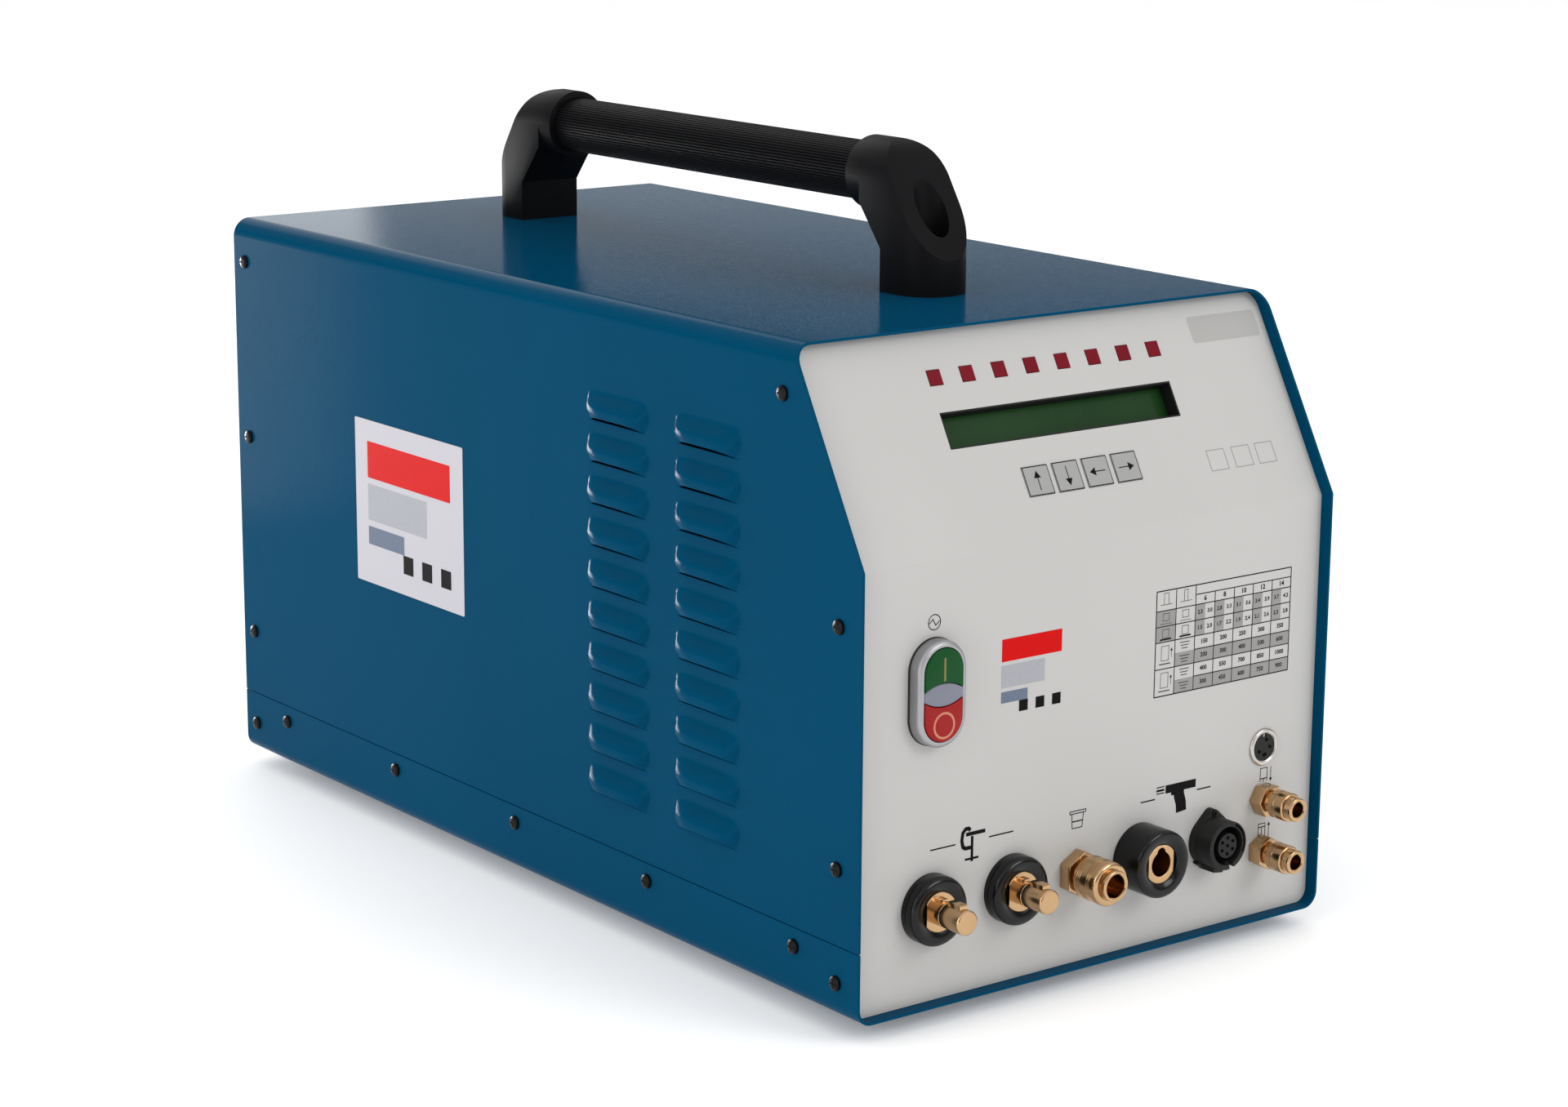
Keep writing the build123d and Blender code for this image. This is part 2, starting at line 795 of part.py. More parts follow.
def make_fan_rotor():
    """Hub with a flat behind each pitched blade, on a shaft that runs in the frame."""
    hub_high = -sheet - fan_spoke_depth - moving_gap
    hub_low = -sheet - fan_thickness
    hub = extrude(RegularPolygon(fan_hub_radius, fan_blade_count), amount=hub_high - hub_low)
    rotor = Pos(0, 0, hub_low) * hub + rod(fan_shaft_radius, hub_high, -sheet)
    span = fan_blade_radius - fan_hub_radius / 2
    blade = Box(span, fan_blade_chord, fan_blade_thickness, align=(Align.MAX, Align.CENTER, Align.CENTER))
    blade = Pos(fan_blade_radius, 0, (hub_low + hub_high) / 2) * Rot(fan_blade_pitch, 0, 0) * blade
    turn = 360 / fan_blade_count
    blade = Rot(0, 0, turn / 2) * blade
    return rotor.fuse(*[Rot(0, 0, i * turn) * blade for i in range(fan_blade_count)])


# Power electronics, valves and contactor on the floor of the case
valve_y = front_y + valve_setback
sink_y = valve_y + valve_length / 2 + sink_gap + sink_length / 2
sink_top = inside_floor + sink_height
module_top = sink_top + module_height
board_top = module_top + board_thickness
magnetics_y = rear_y - magnetics_setback


def make_heat_sink():
    plate = block(sink_width, sink_length, sink_top - sink_plate, sink_top, 0, sink_y)
    spacing = (sink_width - sink_fin_thickness) / (sink_fins - 1)
    first = -(sink_width - sink_fin_thickness) / 2
    return plate.fuse(*[block(sink_fin_thickness, sink_length, inside_floor, sink_top - sink_plate,
                              first + i * spacing, sink_y) for i in range(sink_fins)])


def make_power_modules():
    pitch = module_width + module_gap
    first = sink_y - pitch * (module_count - 1) / 2
    return whole([block(module_length, module_width, sink_top, module_top, 0, first + i * pitch)
                  for i in range(module_count)])


def make_power_board():
    return block(sink_width, sink_length, module_top, board_top, 0, sink_y)


def make_capacitor_bank():
    pitch = capacitor_width + capacitor_gap
    first = -pitch * (capacitor_count - 1) / 2
    return whole([block(capacitor_width, capacitor_length, board_top, board_top + capacitor_height,
                        first + i * pitch, sink_y) for i in range(capacitor_count)])


def make_core(x):
    """Laminated shell core with two windows."""
    low, high = inside_floor, inside_floor + core_height
    yoke = core_leg / 2
    core = block(core_width, core_thickness, low, high, x, magnetics_y)
    opening = core_width / 2 - core_leg
    offset = (core_leg + opening) / 2
    return core.cut(*[block(opening, core_thickness, low + yoke, high - yoke, x + side * offset, magnetics_y)
                      for side in (-1, 1)])


def make_winding(x, build):
    """Coil round the middle leg of a core, standing on the lower yoke."""
    low = inside_floor + core_leg / 2
    high = inside_floor + core_height - core_leg / 2 - winding_gap
    inner_x = core_leg + 2 * seat_gap
    inner_y = core_thickness + 2 * seat_gap
    ring = block(inner_x + 2 * build, inner_y + 2 * build, low, high)
    return Pos(x, magnetics_y) * (ring - block(inner_x, inner_y, low, high))


def make_contactor():
    """Stepped block with its terminals on the lower ledges at both ends."""
    high = inside_floor + contactor_height
    x = -half_width + contactor_inset
    y = front_y + contactor_setback
    body = block(contactor_width, contactor_length, inside_floor, high - contactor_step, x, y)
    ridge = contactor_length - 2 * contactor_step
    return body + block(contactor_width, ridge, high - contactor_step, high, x, y)


def make_valve(x):
    """Solenoid valve: manifold block with its coil on top."""
    top = inside_floor + valve_height
    coil = block(coil_size, coil_size, top, top + coil_height, x, valve_y)
    return coil + block(valve_width, valve_length, inside_floor, top, x, valve_y)


def build_parts():
    plug_left = on_panel(plug_left_x, connector_height)
    plug_right = on_panel(plug_right_x, connector_height)
    gun = on_panel(gun_x, connector_height)
    gas = on_panel(gas_x, connector_height)
    control = on_panel(control_x, connector_height)
    signal = on_panel(air_x, din_height)
    button = on_panel(button_x, button_height)
    plug_collar = make_collar(plug_collar_depth, pin_shank)
    weld_pin = make_weld_pin()
    air_body = make_coupling_body(air_hexagon, air_hexagon_length, air_barrel_radius, air_bore_radius,
                                  air_reach)
    air_sleeve = make_air_sleeve()
    bracket = make_bracket()
    cap = make_cap()
    parts = {
        "base_tray": make_base_tray(),
        "cover_hood": make_cover_hood(),
        "front_panel": make_front_panel(),
        "rear_panel": make_rear_panel(),
        "rubber_feet": make_rubber_feet(),
        "handle_grip": make_grip(),
        "handle_bracket_front": Pos(0, handle_y - grip_reach, roof_z) * Rot(0, 0, -90) * bracket,
        "handle_bracket_rear": Pos(0, handle_y + grip_reach, roof_z) * Rot(0, 0, 90) * bracket,
        "weld_collar_left": plug_left * plug_collar,
        "weld_collar_right": plug_right * plug_collar,
        "weld_pin_left": plug_left * weld_pin,
        "weld_pin_right": plug_right * weld_pin,
        "gun_socket_collar": gun * make_collar(gun_collar_depth, gun_shank),
        "gun_socket_insert": gun * make_gun_insert(),
        "gas_coupling_body": gas * make_coupling_body(gas_hexagon, gas_hexagon_length, gas_barrel_radius,
                                                      gas_bore_radius, gas_reach),
        "gas_coupling_sleeve": gas * make_gas_sleeve(),
        "control_socket_shell": control * make_control_shell(),
        "control_socket_insert": control * make_control_insert(),
        "signal_socket_ring": signal * make_din_ring(),
        "signal_socket_insert": signal * make_din_insert(),
        "button_gasket": button * make_button_gasket(),
        "button_bezel": button * make_button_bezel(),
        "button_lens": button * make_button_lens(),
        "on_button": button * cap,
        "off_button": button * Rot(0, 0, 180) * cap,
        "switch_block": button * make_switch_block(),
        "display_board": make_display_board(),
        "board_standoffs": make_board_standoffs(),
        "lcd_module": make_lcd_module(),
        "lcd_window": make_lcd_window(),
        "indicator_lamps": make_indicator_lamps(),
        "cable_gland": on_rear(gland_x, inlet_height) * make_cable_gland(),
        "gas_inlet": on_rear(gas_inlet_x, inlet_height) * make_hose_nipple(),
        "air_inlet": on_rear(air_inlet_x, inlet_height) * make_hose_nipple(),
        "fan_frame": on_rear(0, fan_height) * make_fan_frame(),
        "fan_rotor": on_rear(0, fan_height) * make_fan_rotor(),
        "heat_sink": make_heat_sink(),
        "power_modules": make_power_modules(),
        "power_board": make_power_board(),
        "capacitor_bank": make_capacitor_bank(),
        "transformer_core": make_core(transformer_x),
        "transformer_winding": make_winding(transformer_x, transformer_build),
        "choke_core": make_core(choke_x),
        "choke_winding": make_winding(choke_x, choke_build),
        "contactor": make_contactor(),
        "gas_valve": make_valve(gas_valve_x),
        "air_valve": make_valve(air_valve_x),
    }
    for level, height in (("upper", air_upper_height), ("lower", air_lower_height)):
        place = on_panel(air_x, height)
        parts[f"air_coupling_{level}_body"] = place * air_body
        parts[f"air_coupling_{level}_sleeve"] = place * air_sleeve
    for name, x in key_places().items():
        parts[f"key_{name}"] = on_slope(x, key_row) * make_key()
    return parts


if __name__ == "__main__":
    os.makedirs("parts", exist_ok=True)
    for node, shape in build_parts().items():
        export_step(shape, f"parts/{node}.step")
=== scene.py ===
# %% [markdown]
# # Dressing a stud welding inverter
# The imported solids give every piece its place and its motion. This lesson adds what the eye looks for:
# textured paint, pressed louvres, turned brass, printed marks and studio light. The frame is loaded
# first. The dressed object may not outgrow it.

# %% Load the frame
import json
import math

import bmesh
import bpy
from mathutils import Matrix, Quaternion, Vector


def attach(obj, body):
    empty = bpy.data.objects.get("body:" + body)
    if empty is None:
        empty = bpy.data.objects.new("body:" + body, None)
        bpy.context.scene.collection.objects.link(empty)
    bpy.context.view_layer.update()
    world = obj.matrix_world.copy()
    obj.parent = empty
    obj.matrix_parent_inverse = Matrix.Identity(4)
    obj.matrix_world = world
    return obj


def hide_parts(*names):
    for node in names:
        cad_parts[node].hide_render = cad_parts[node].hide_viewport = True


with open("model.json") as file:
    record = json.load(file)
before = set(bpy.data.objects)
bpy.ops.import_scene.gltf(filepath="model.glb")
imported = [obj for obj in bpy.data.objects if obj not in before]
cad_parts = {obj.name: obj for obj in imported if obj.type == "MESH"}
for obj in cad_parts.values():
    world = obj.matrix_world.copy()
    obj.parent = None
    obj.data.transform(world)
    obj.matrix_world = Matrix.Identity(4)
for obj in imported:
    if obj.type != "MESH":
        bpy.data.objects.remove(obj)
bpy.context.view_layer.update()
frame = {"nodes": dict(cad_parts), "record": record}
MM = 0.001
nodes = frame["nodes"]

# %% [markdown]
# ## Shader maths in Python
# A material is a small program. Wired by hand it is hard to read, so one class wraps an output socket
# and lets plain expressions such as `0.3 + grain * 0.2` add the Math nodes. Every other node comes from
# its `add` method: first the node's settings, then the values or links of its inputs.

# %% The socket class
class Shade:
    """One output socket of a node tree that takes part in Python expressions."""

    def __init__(self, tree, socket):
        self.tree = tree
        self.socket = socket

    def add(self, kind, settings, inputs, output=0):
        node = self.tree.nodes.new("ShaderNode" + kind)
        for name, value in settings.items():
            setattr(node, name, value)
        for name, value in inputs.items():
            self.feed(node.inputs[name], value)
        return Shade(self.tree, node.outputs[output])

    def feed(self, socket, value):
        if isinstance(value, Shade):
            self.tree.links.new(value.socket, socket)
        else:
            socket.default_value = value

    def math(self, operation, other):
        return self.add("Math", {"operation": operation}, {0: self, 1: other})

    def __add__(self, other):
        return self.math("ADD", other)

    def __mul__(self, other):
        return self.math("MULTIPLY", other)

    __radd__ = __add__

    def mix(self, low, high):
        """Colour that goes from low to high as this value goes from 0 to 1."""
        settings = {"data_type": "RGBA", "clamp_factor": True}
        return self.add("Mix", settings, {0: self, 6: low, 7: high}, output=2)

    def between(self, dark, light):
        """The same between two shades in 8-bit sRGB."""
        return self.mix(colour(*dark), colour(*light))

    def noise(self, scale, detail=2.0, roughness=0.5):
        inputs = {"Vector": self, "Scale": scale, "Detail": detail, "Roughness": roughness}
        return self.add("TexNoise", {}, inputs)

    def stretched(self, x, y, z):
        """The same coordinates with each axis scaled, for grain that runs one way."""
        return self.add("Mapping", {}, {"Vector": self, "Scale": (x, y, z)})

    def ramp(self, *stops):
        """Grey that follows (place, value) stops."""
        made = self.add("ValToRGB", {}, {"Fac": self})
        elements = made.socket.node.color_ramp.elements
        while len(elements) < len(stops):
            elements.new(1.0)
        for element, (place, grey) in zip(elements, stops):
            element.position = place
            element.color = (grey, grey, grey, 1.0)
        return made


def colour(red, green, blue):
    """Linear colour of a shade given in 8-bit sRGB, as read off a picture."""
    def linear(value):
        value /= 255
        return value / 12.92 if value <= 0.04045 else ((value + 0.055) / 1.055) ** 2.4
    return (linear(red), linear(green), linear(blue), 1.0)


def new_finish(name, **constants):
    """Material with its shader's constants set, and the object coordinates to build patterns on."""
    material = bpy.data.materials.new(name)
    material.use_nodes = True
    tree = material.node_tree
    shader = tree.nodes["Principled BSDF"]
    for socket, value in constants.items():
        shader.inputs[socket.replace("_", " ")].default_value = value
    place = Shade(tree, tree.nodes.new("ShaderNodeTexCoord").outputs["Object"])
    return material, shader, place


def coat(shader, tone, roughness):
    tone.feed(shader.inputs["Base Color"], tone)
    tone.feed(shader.inputs["Roughness"], roughness)


def bump(shader, height, depth, strength):
    """Relief from a height pattern, its depth in millimetres."""
    inputs = {"Height": height, "Distance": depth * MM, "Strength": strength}
    height.feed(shader.inputs["Normal"], height.add("Bump", {}, inputs))


print("shader tools ready")

# %% [markdown]
# ## Powder coat
# The case has a fine-textured powder coat: an even blue that breaks up into small soft dimples when
# light rakes over it. An image would stretch on the bends, so the dimples are two sizes of noise in
# object space. They drive the bump and a little of the gloss, and a broad, faint noise keeps the colour
# from looking flat.

# %% Case paint
def case_paint():
    material, shader, place = new_finish("case_paint", Specular_IOR_Level=0.015)
    peel = place.noise(620, 2.0, 0.55)
    dimple = place.noise(1500, 1.0)
    broad = place.noise(5.0, 3.0)
    texture = peel * 0.75 + dimple * 0.25
    tone = broad * 0.55 + texture * 0.45
    coat(shader, tone.between((0, 56, 84), (0, 71, 103)), 0.07 + texture * 0.08)
    bump(shader, texture, 0.16, 0.4)
    return material


PAINT = case_paint()
print("made", PAINT.name)

# %% [markdown]
# ## Printed panel film, plastics and rubber
# The front panel carries a satin film with hardly any grain. Moulded plastics differ by gloss and by
# the depth of their spark-eroded grain, so one function makes them all from a colour, a gloss and a
# grain.

# %% Panel film and plastics
def panel_film():
    material, shader, place = new_finish("panel_film", Specular_IOR_Level=0.3)
    cloud = place.noise(9.0, 4.0)
    grain = place.noise(1400, 1.0)
    coat(shader, cloud.between((177, 176, 174), (185, 184, 182)), 0.34 + grain * 0.1)
    bump(shader, grain, 0.05, 0.3)
    return material


def moulded(name, dark, light, gloss, depth, specular=0.5, metallic=0.0):
    """Plastic or rubber with a moulded grain: its colour wanders between two shades."""
    material, shader, place = new_finish(name, Specular_IOR_Level=specular, Metallic=metallic)
    cloud = place.noise(38.0, 4.0, 0.6)
    grain = place.noise(1700, 2.0, 0.6)
    coat(shader, cloud.between(dark, light), gloss + cloud * 0.1 + grain * 0.06)
    bump(shader, grain, depth, 0.6)
    return material


FILM = panel_film()
HANDLE = moulded("handle_plastic", (12, 12, 14), (19, 19, 21), 0.38, 0.1, 0.06)
COLLAR = moulded("collar_plastic", (6, 6, 7), (11, 11, 12), 0.11, 0.02, 0.28)
SOCKET = moulded("socket_plastic", (14, 13, 13), (24, 23, 22), 0.42, 0.06, 0.25)
# Near-black painted shade: it colours the contact tubes and the flat crosses on the screw heads, standing
# for the shade in their holes and recesses.
SHADE_BLACK = moulded("painted_shade_black", (1, 1, 1), (4, 4, 4), 0.55, 0.02, 0.08)
RUBBER = moulded("foot_rubber", (12, 12, 12), (24, 24, 24), 0.7, 0.15)
GREEN = moulded("green_cap", (0, 60, 22), (2, 75, 29), 0.16, 0.01, 0.14)
RED = moulded("red_cap", (134, 9, 11), (152, 15, 16), 0.16, 0.01, 0.2)
LENS = moulded("lens_plastic", (104, 106, 121), (120, 122, 137), 0.3, 0.02)
KEY = moulded("key_film", (144, 144, 142), (154, 154, 152), 0.4, 0.03, 0.3)
LAMP = moulded("lamp_plastic", (94, 5, 20), (120, 10, 29), 0.22, 0.01, 0.1)
SCREW = moulded("blackened_screw", (7, 7, 8), (17, 17, 19), 0.24, 0.05, 0.25, metallic=0.5)
BLACK = moulded("black_moulding", (9, 9, 10), (18, 18, 19), 0.5, 0.08, 0.25)
print("made the film and the plastics")

# %% [markdown]
# ## Turned brass, bright trim and the metals inside
# A lathe leaves rings across the axis of a turned part, and all the brass here lies along Y. Noise that
# is stretched across X and Z and squeezed along Y gives such rings without a seam.

# %% Metals
def turned_metal(name, dark, light, gloss, rings):
    material, shader, place = new_finish(name, Metallic=1.0)
    ring = place.stretched(0.02, 1.0, 0.02).noise(rings, 2.0)
    stain = place.noise(90, 3.0)
    tone = stain * 0.6 + ring * 0.4
    coat(shader, tone.between(dark, light), gloss + ring * 0.12 + stain * 0.08)
    bump(shader, ring, 0.02, 0.12)
    return material


BRASS = turned_metal("turned_brass", (177, 142, 103), (204, 170, 130), 0.09, 2600)
BRIGHT = turned_metal("bright_trim", (150, 150, 153), (178, 178, 181), 0.36, 900)
NICKEL = turned_metal("nickel_ring", (180, 175, 170), (202, 197, 191), 0.18, 900)
STEEL = turned_metal("zinc_steel", (150, 150, 148), (186, 186, 182), 0.3, 900)
ALUMINIUM = turned_metal("extruded_sink", (168, 169, 170), (200, 200, 201), 0.34, 700)
CORE = turned_metal("core_plates", (64, 62, 60), (96, 93, 90), 0.42, 1700)
COPPER = turned_metal("coil_wire", (148, 78, 40), (190, 108, 58), 0.3, 900)
print("made the metals")

# %% [markdown]
# ## Display glass, circuit board and inks
# The text display is a dark green field behind a clear sheet: a faint grid of character cells shows in
# it. Inks are thin, so they only need a colour with a slight unevenness.

# %% Display, board and inks
def display_glass():
    material, shader, place = new_finish("display_glass", Specular_IOR_Level=0.15)
    cloud = place.noise(14, 3.0)
    cells = place.stretched(1.0, 0.05, 0.05).noise(900, 0.0)
    tone = cloud * 0.8 + cells * 0.2
    coat(shader, tone.between((16, 46, 18), (34, 70, 32)), 0.18 + cloud * 0.1)
    return material


def ink(name, dark, light):
    material, shader, place = new_finish(name, Specular_IOR_Level=0.02)
    grain = place.noise(1200, 3.0)
    coat(shader, grain.between(dark, light), 0.4 + grain * 0.15)
    return material


GLASS = display_glass()
BOARD = moulded("circuit_board", (8, 62, 30), (18, 84, 44), 0.35, 0.03)
INK = ink("black_ink", (16, 16, 17), (26, 26, 27))
CELL_INK = ink("grey_cell_ink", (138, 137, 136), (147, 146, 145))
PLATE_INK = ink("plate_grey", (162, 161, 159), (169, 168, 166))
PALE_INK = ink("pale_mark", (186, 118, 98), (200, 132, 110))
TAN_INK = ink("tan_mark", (116, 108, 70), (130, 121, 80))
LABEL = ink("white_label", (180, 178, 184), (188, 186, 192))
RED_INK = ink("red_ink", (188, 18, 20), (202, 25, 25))
GREY_INK = ink("grey_ink", (150, 152, 158), (166, 168, 173))
SLATE_INK = ink("slate_ink", (96, 106, 124), (110, 120, 138))
print("made glass, board and inks")

# %% [markdown]
# ## Bench tools
# Every new piece is drawn in millimetres on a drawing board: X to the right, Y up, Z out towards the
# eye. A matrix then carries the board to the front panel, its slope, a side or the back. `settle`
# scales a drawing to metres, shades it smooth up to a crease angle, and lets the piece ride on its
# body.

# %% Drawing boards and settling
FLOOR_Z = 10.0
ROOF_Z = 344.0
HALF_WIDTH = 160.0
FRONT_Y = -308.0
REAR_Y = 308.0
BEND_Z = 240.5
LEAN = math.atan2(57.5, 103.5)
RECESS = 7.0
REAR_RECESS = 4.0


def shift(x, y, z):
    return Matrix.Translation((x, y, z))


def spin(angle):
    return Matrix.Rotation(angle, 4, "Z")


def board_at(origin, right, up):
    """Matrix that carries a drawing board to an origin, given its right and up directions."""
    right, up = Vector(right), Vector(up)
    matrix = Matrix((right, up, right.cross(up))).transposed().to_4x4()
    matrix.translation = origin
    return matrix


def on_panel(x, height):
    return board_at((x, FRONT_Y + RECESS, FLOOR_Z + height), (1, 0, 0), (0, 0, 1))


def on_slope(x, rise):
    up = Vector((0, math.sin(LEAN), math.cos(LEAN)))
    bend = Vector((x, FRONT_Y + RECESS, BEND_Z - RECESS * math.tan(LEAN / 2)))
    return board_at(bend + rise * up, (1, 0, 0), up)


def on_side(side, y, z):
    return board_at((side * HALF_WIDTH, y, z), (0, side, 0), (0, 0, 1))


def on_rear(x, height):
    return board_at((x, REAR_Y - REAR_RECESS, FLOOR_Z + height), (-1, 0, 0), (0, 0, 1))


def linked(name, data):
    """New object in the scene."""
    item = bpy.data.objects.new(name, data)
    bpy.context.scene.collection.objects.link(item)
    return item


def mesh_of(name, shape, finish):
    """Mesh with one finish from a drawing, which is used up."""
    mesh = bpy.data.meshes.new(name)
    shape.to_mesh(mesh)
    shape.free()
    mesh.materials.append(finish)
    return mesh


def settle(name, shape, finish, body="housing", stands_for=(), crease=34):
    """Turn a drawing in millimetres into a piece in metres that rides on a body."""
    bmesh.ops.scale(shape, vec=(MM, MM, MM), verts=shape.verts)
    mesh = mesh_of(name, shape, finish)
    mesh.shade_smooth()
    mesh.set_sharp_from_angle(angle=math.radians(crease))
    piece = linked(name, mesh)
    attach(piece, body)
    if stands_for:
        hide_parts(*stands_for)
    return piece


def placed(shape, matrix):
    bmesh.ops.transform(shape, matrix=matrix, verts=shape.verts)
    return shape


def joined(shapes):
    """Several drawings as one."""
    whole = bmesh.new()
    scrap = bpy.data.meshes.new("scrap")
    for shape in shapes:
        shape.to_mesh(scrap)
        shape.free()
        whole.from_mesh(scrap)
    bpy.data.meshes.remove(scrap)
    return whole


def verts_of(made):
    """The points among what a bmesh operator made."""
    return [item for item in made if isinstance(item, bmesh.types.BMVert)]


def unique(items):
    """Each item once, in the order they come: a set would order them anew in every run."""
    return list(dict.fromkeys(items))


def ease(shape, geom, size, steps, affect="EDGES"):
    """Round off edges or corners."""
    bmesh.ops.bevel(shape, geom=geom, offset=size, offset_type="OFFSET", segments=steps, profile=0.5,
                    affect=affect, clamp_overlap=True, material=-1)
    return shape


print("front leans back", round(math.degrees(LEAN), 2), "degrees")

# %% [markdown]
# ## Folded sheet: hood and tray
# Hood and tray are one tube of folded sheet, cut in two at a seam. A half outline with its bend is spun
# and extruded, mirrored, drawn out along the case and cut off along the bent front line. A Solidify
# modifier then gives the sheet its 1.5 mm, and a small bevel lets its edges catch the light.

# %% Sheet tools
SEAM_Z = 48.5
SEAM_GAP = 0.4
SHEET = 1.5
EDGE_BEVEL = 0.3
TRAY_BEND = 9.0
HOOD_BEND = 11.0


def half_outline(shape, start, corner, turn):
    """Edges from a start point up to a bend about a corner centre, and on to the middle of the case."""
    first = shape.verts.new(start)
    second = shape.verts.new((HALF_WIDTH, 0, corner.z))
    shape.edges.new((first, second))
    arc = bmesh.ops.spin(shape, geom=[second], cent=corner, axis=(0, 1, 0), angle=turn, steps=10)
    end = verts_of(arc["geom_last"])[0]
    middle = shape.verts.new((0, 0, end.co.z))
    shape.edges.new((end, middle))


def draw_out(shape):
    """Mirror a half outline and draw it along the case from front to rear."""
    half = shape.verts[:] + shape.edges[:]
    bmesh.ops.mirror(shape, geom=half, axis="X", merge_dist=0.001)
    bmesh.ops.remove_doubles(shape, verts=shape.verts, dist=0.001)
    bmesh.ops.translate(shape, vec=(0, FRONT_Y, 0), verts=shape.verts)
    drawn = bmesh.ops.extrude_edge_only(shape, edges=shape.edges)
    bmesh.ops.translate(shape, vec=(0, REAR_Y - FRONT_Y, 0), verts=verts_of(drawn["geom"]))


def cut(shape, point, normal, clear=False):
    geom = shape.verts[:] + shape.edges[:] + shape.faces[:]
    bmesh.ops.bisect_plane(shape, geom=geom, dist=0.0001, plane_co=point, plane_no=normal,
                           clear_outer=clear)


def face_out(shape):
    """Turn the faces of an open skin away from the middle of the case."""
    middle = Vector((0, 0, ROOF_Z / 2))
    shape.normal_update()
    inward = [face for face in shape.faces
              if face.normal.dot(face.calc_center_median() - middle) < 0]
    bmesh.ops.reverse_faces(shape, faces=inward)


def give_thickness(piece):
    """Wall and edge bevel; the weights let large faces rule the shading beside small bends."""
    wall = piece.modifiers.new("sheet", "SOLIDIFY")
    wall.thickness = SHEET * MM
    wall.offset = -1
    edge = piece.modifiers.new("edge", "BEVEL")
    edge.width = EDGE_BEVEL * MM
    edge.segments = 2
    edge.angle_limit = math.radians(60)
    piece.modifiers.new("weights", "WEIGHTED_NORMAL").keep_sharp = True
    return piece


print("sheet", SHEET, "mm, seam at", SEAM_Z, "mm")

# %% The tray
tray = bmesh.new()
tray_corner = Vector((HALF_WIDTH - TRAY_BEND, 0, FLOOR_Z + TRAY_BEND))
half_outline(tray, (HALF_WIDTH, 0, SEAM_Z - SEAM_GAP), tray_corner, math.pi / 2)
draw_out(tray)
face_out(tray)
tray_piece = give_thickness(settle("tray", tray, PAINT, stands_for=["base_tray"]))
print("tray faces", len(tray_piece.data.polygons))

# %% [markdown]
# ## Pressed louvres
# Each louvre is one stroke of a press: the sheet is sheared along the lower edge and pushed out above
# it, so it rises smoothly from the side, has round ends and stops in an open lip that draws up a little
# and leaves a slot. Planes cut the side into windows, each window is divided into a grid, its lower
# edge is split open, and the grid is pushed out by a smooth height field that is zero round the rim and
# full at the lip.

# %% Hood with louvre windows
LOUVRE = {"length": 55.0, "height": 17.0, "proud": 6.0, "rounding": 17.0, "corner": 5.0, "lift": 3.2,
          "pitch": 22.65, "rows": 10, "lip_z": 280.0}
LOUVRE_Y = (-181.5, -102.0)
GRID_CUTS = 30
CLOSE = 0.001


def louvre_lips():
    return [LOUVRE["lip_z"] - LOUVRE["pitch"] * row for row in range(LOUVRE["rows"])]


hood = bmesh.new()
hood_corner = Vector((HALF_WIDTH - HOOD_BEND, 0, ROOF_Z - HOOD_BEND))
half_outline(hood, (HALF_WIDTH, 0, SEAM_Z), hood_corner, -math.pi / 2)
draw_out(hood)
cut(hood, (0, FRONT_Y, BEND_Z), (0, -math.cos(LEAN), math.sin(LEAN)), clear=True)
for middle in LOUVRE_Y:
    for end in (-1, 1):
        cut(hood, (0, middle + end * LOUVRE["length"] / 2, 0), (0, 1, 0))
for lip in louvre_lips():
    cut(hood, (0, 0, lip), (0, 0, 1))
    cut(hood, (0, 0, lip + LOUVRE["height"]), (0, 0, 1))


def in_column(spot):
    return any(abs(spot.y - middle) < LOUVRE["length"] / 2 for middle in LOUVRE_Y)


def in_window(face):
    """Whether a face of the hood lies where a louvre is pressed out."""
    centre = face.calc_center_median()
    return in_column(centre) and any(0 < centre.z - lip < LOUVRE["height"] for lip in louvre_lips())


windows = [face for face in hood.faces if in_window(face)]
edges = unique(edge for face in windows for edge in face.edges)
bmesh.ops.subdivide_edges(hood, edges=edges, cuts=GRID_CUTS, use_grid_fill=True)
face_out(hood)
print("louvre windows", len(windows))

# %% Shearing and pressing
def on_lip(edge):
    """Whether an edge of the side lies where a louvre is sheared open."""
    first, second = edge.verts[0].co, edge.verts[1].co
    level = abs(first.z - second.z) < CLOSE and abs(abs(first.x) - HALF_WIDTH) < CLOSE
    if not (level and in_column((first + second) / 2)):
        return False
    return any(abs(first.z - lip) < CLOSE for lip in louvre_lips())


def pressed_height(across, up):
    """Height of the pressed sheet: across runs 0..1 from end to end, up runs 0..1 from the lip."""
    shorter = LOUVRE["corner"] * max(1 - 2 * up, 0.0) ** 2
    from_end = min(across, 1 - across) * LOUVRE["length"] - shorter
    inward = min(max(from_end / LOUVRE["rounding"], 0.0), 1.0)
    return LOUVRE["proud"] * math.sqrt(1 - (1 - inward) ** 2) * (1 - up ** 3) ** 2


lips = [edge for edge in hood.edges if on_lip(edge)]
bmesh.ops.split_edges(hood, edges=lips)
pressed = [face for face in hood.faces if in_window(face)]
for vert in unique(vert for face in pressed for vert in face.verts):
    middle = min(LOUVRE_Y, key=lambda y: abs(vert.co.y - y))
    above = [vert.co.z - lip for lip in louvre_lips() if vert.co.z > lip - CLOSE]
    up = min(above) / LOUVRE["height"]
    height = pressed_height((vert.co.y - middle) / LOUVRE["length"] + 0.5, up)
    vert.co.x += math.copysign(height, vert.co.x)
    vert.co.z += LOUVRE["lift"] * (1 - up) * height / LOUVRE["proud"]
hood_piece = give_thickness(settle("hood", hood, PAINT, stands_for=["cover_hood"]))
print("pressed faces", len(pressed), "hood faces", len(hood_piece.data.polygons))

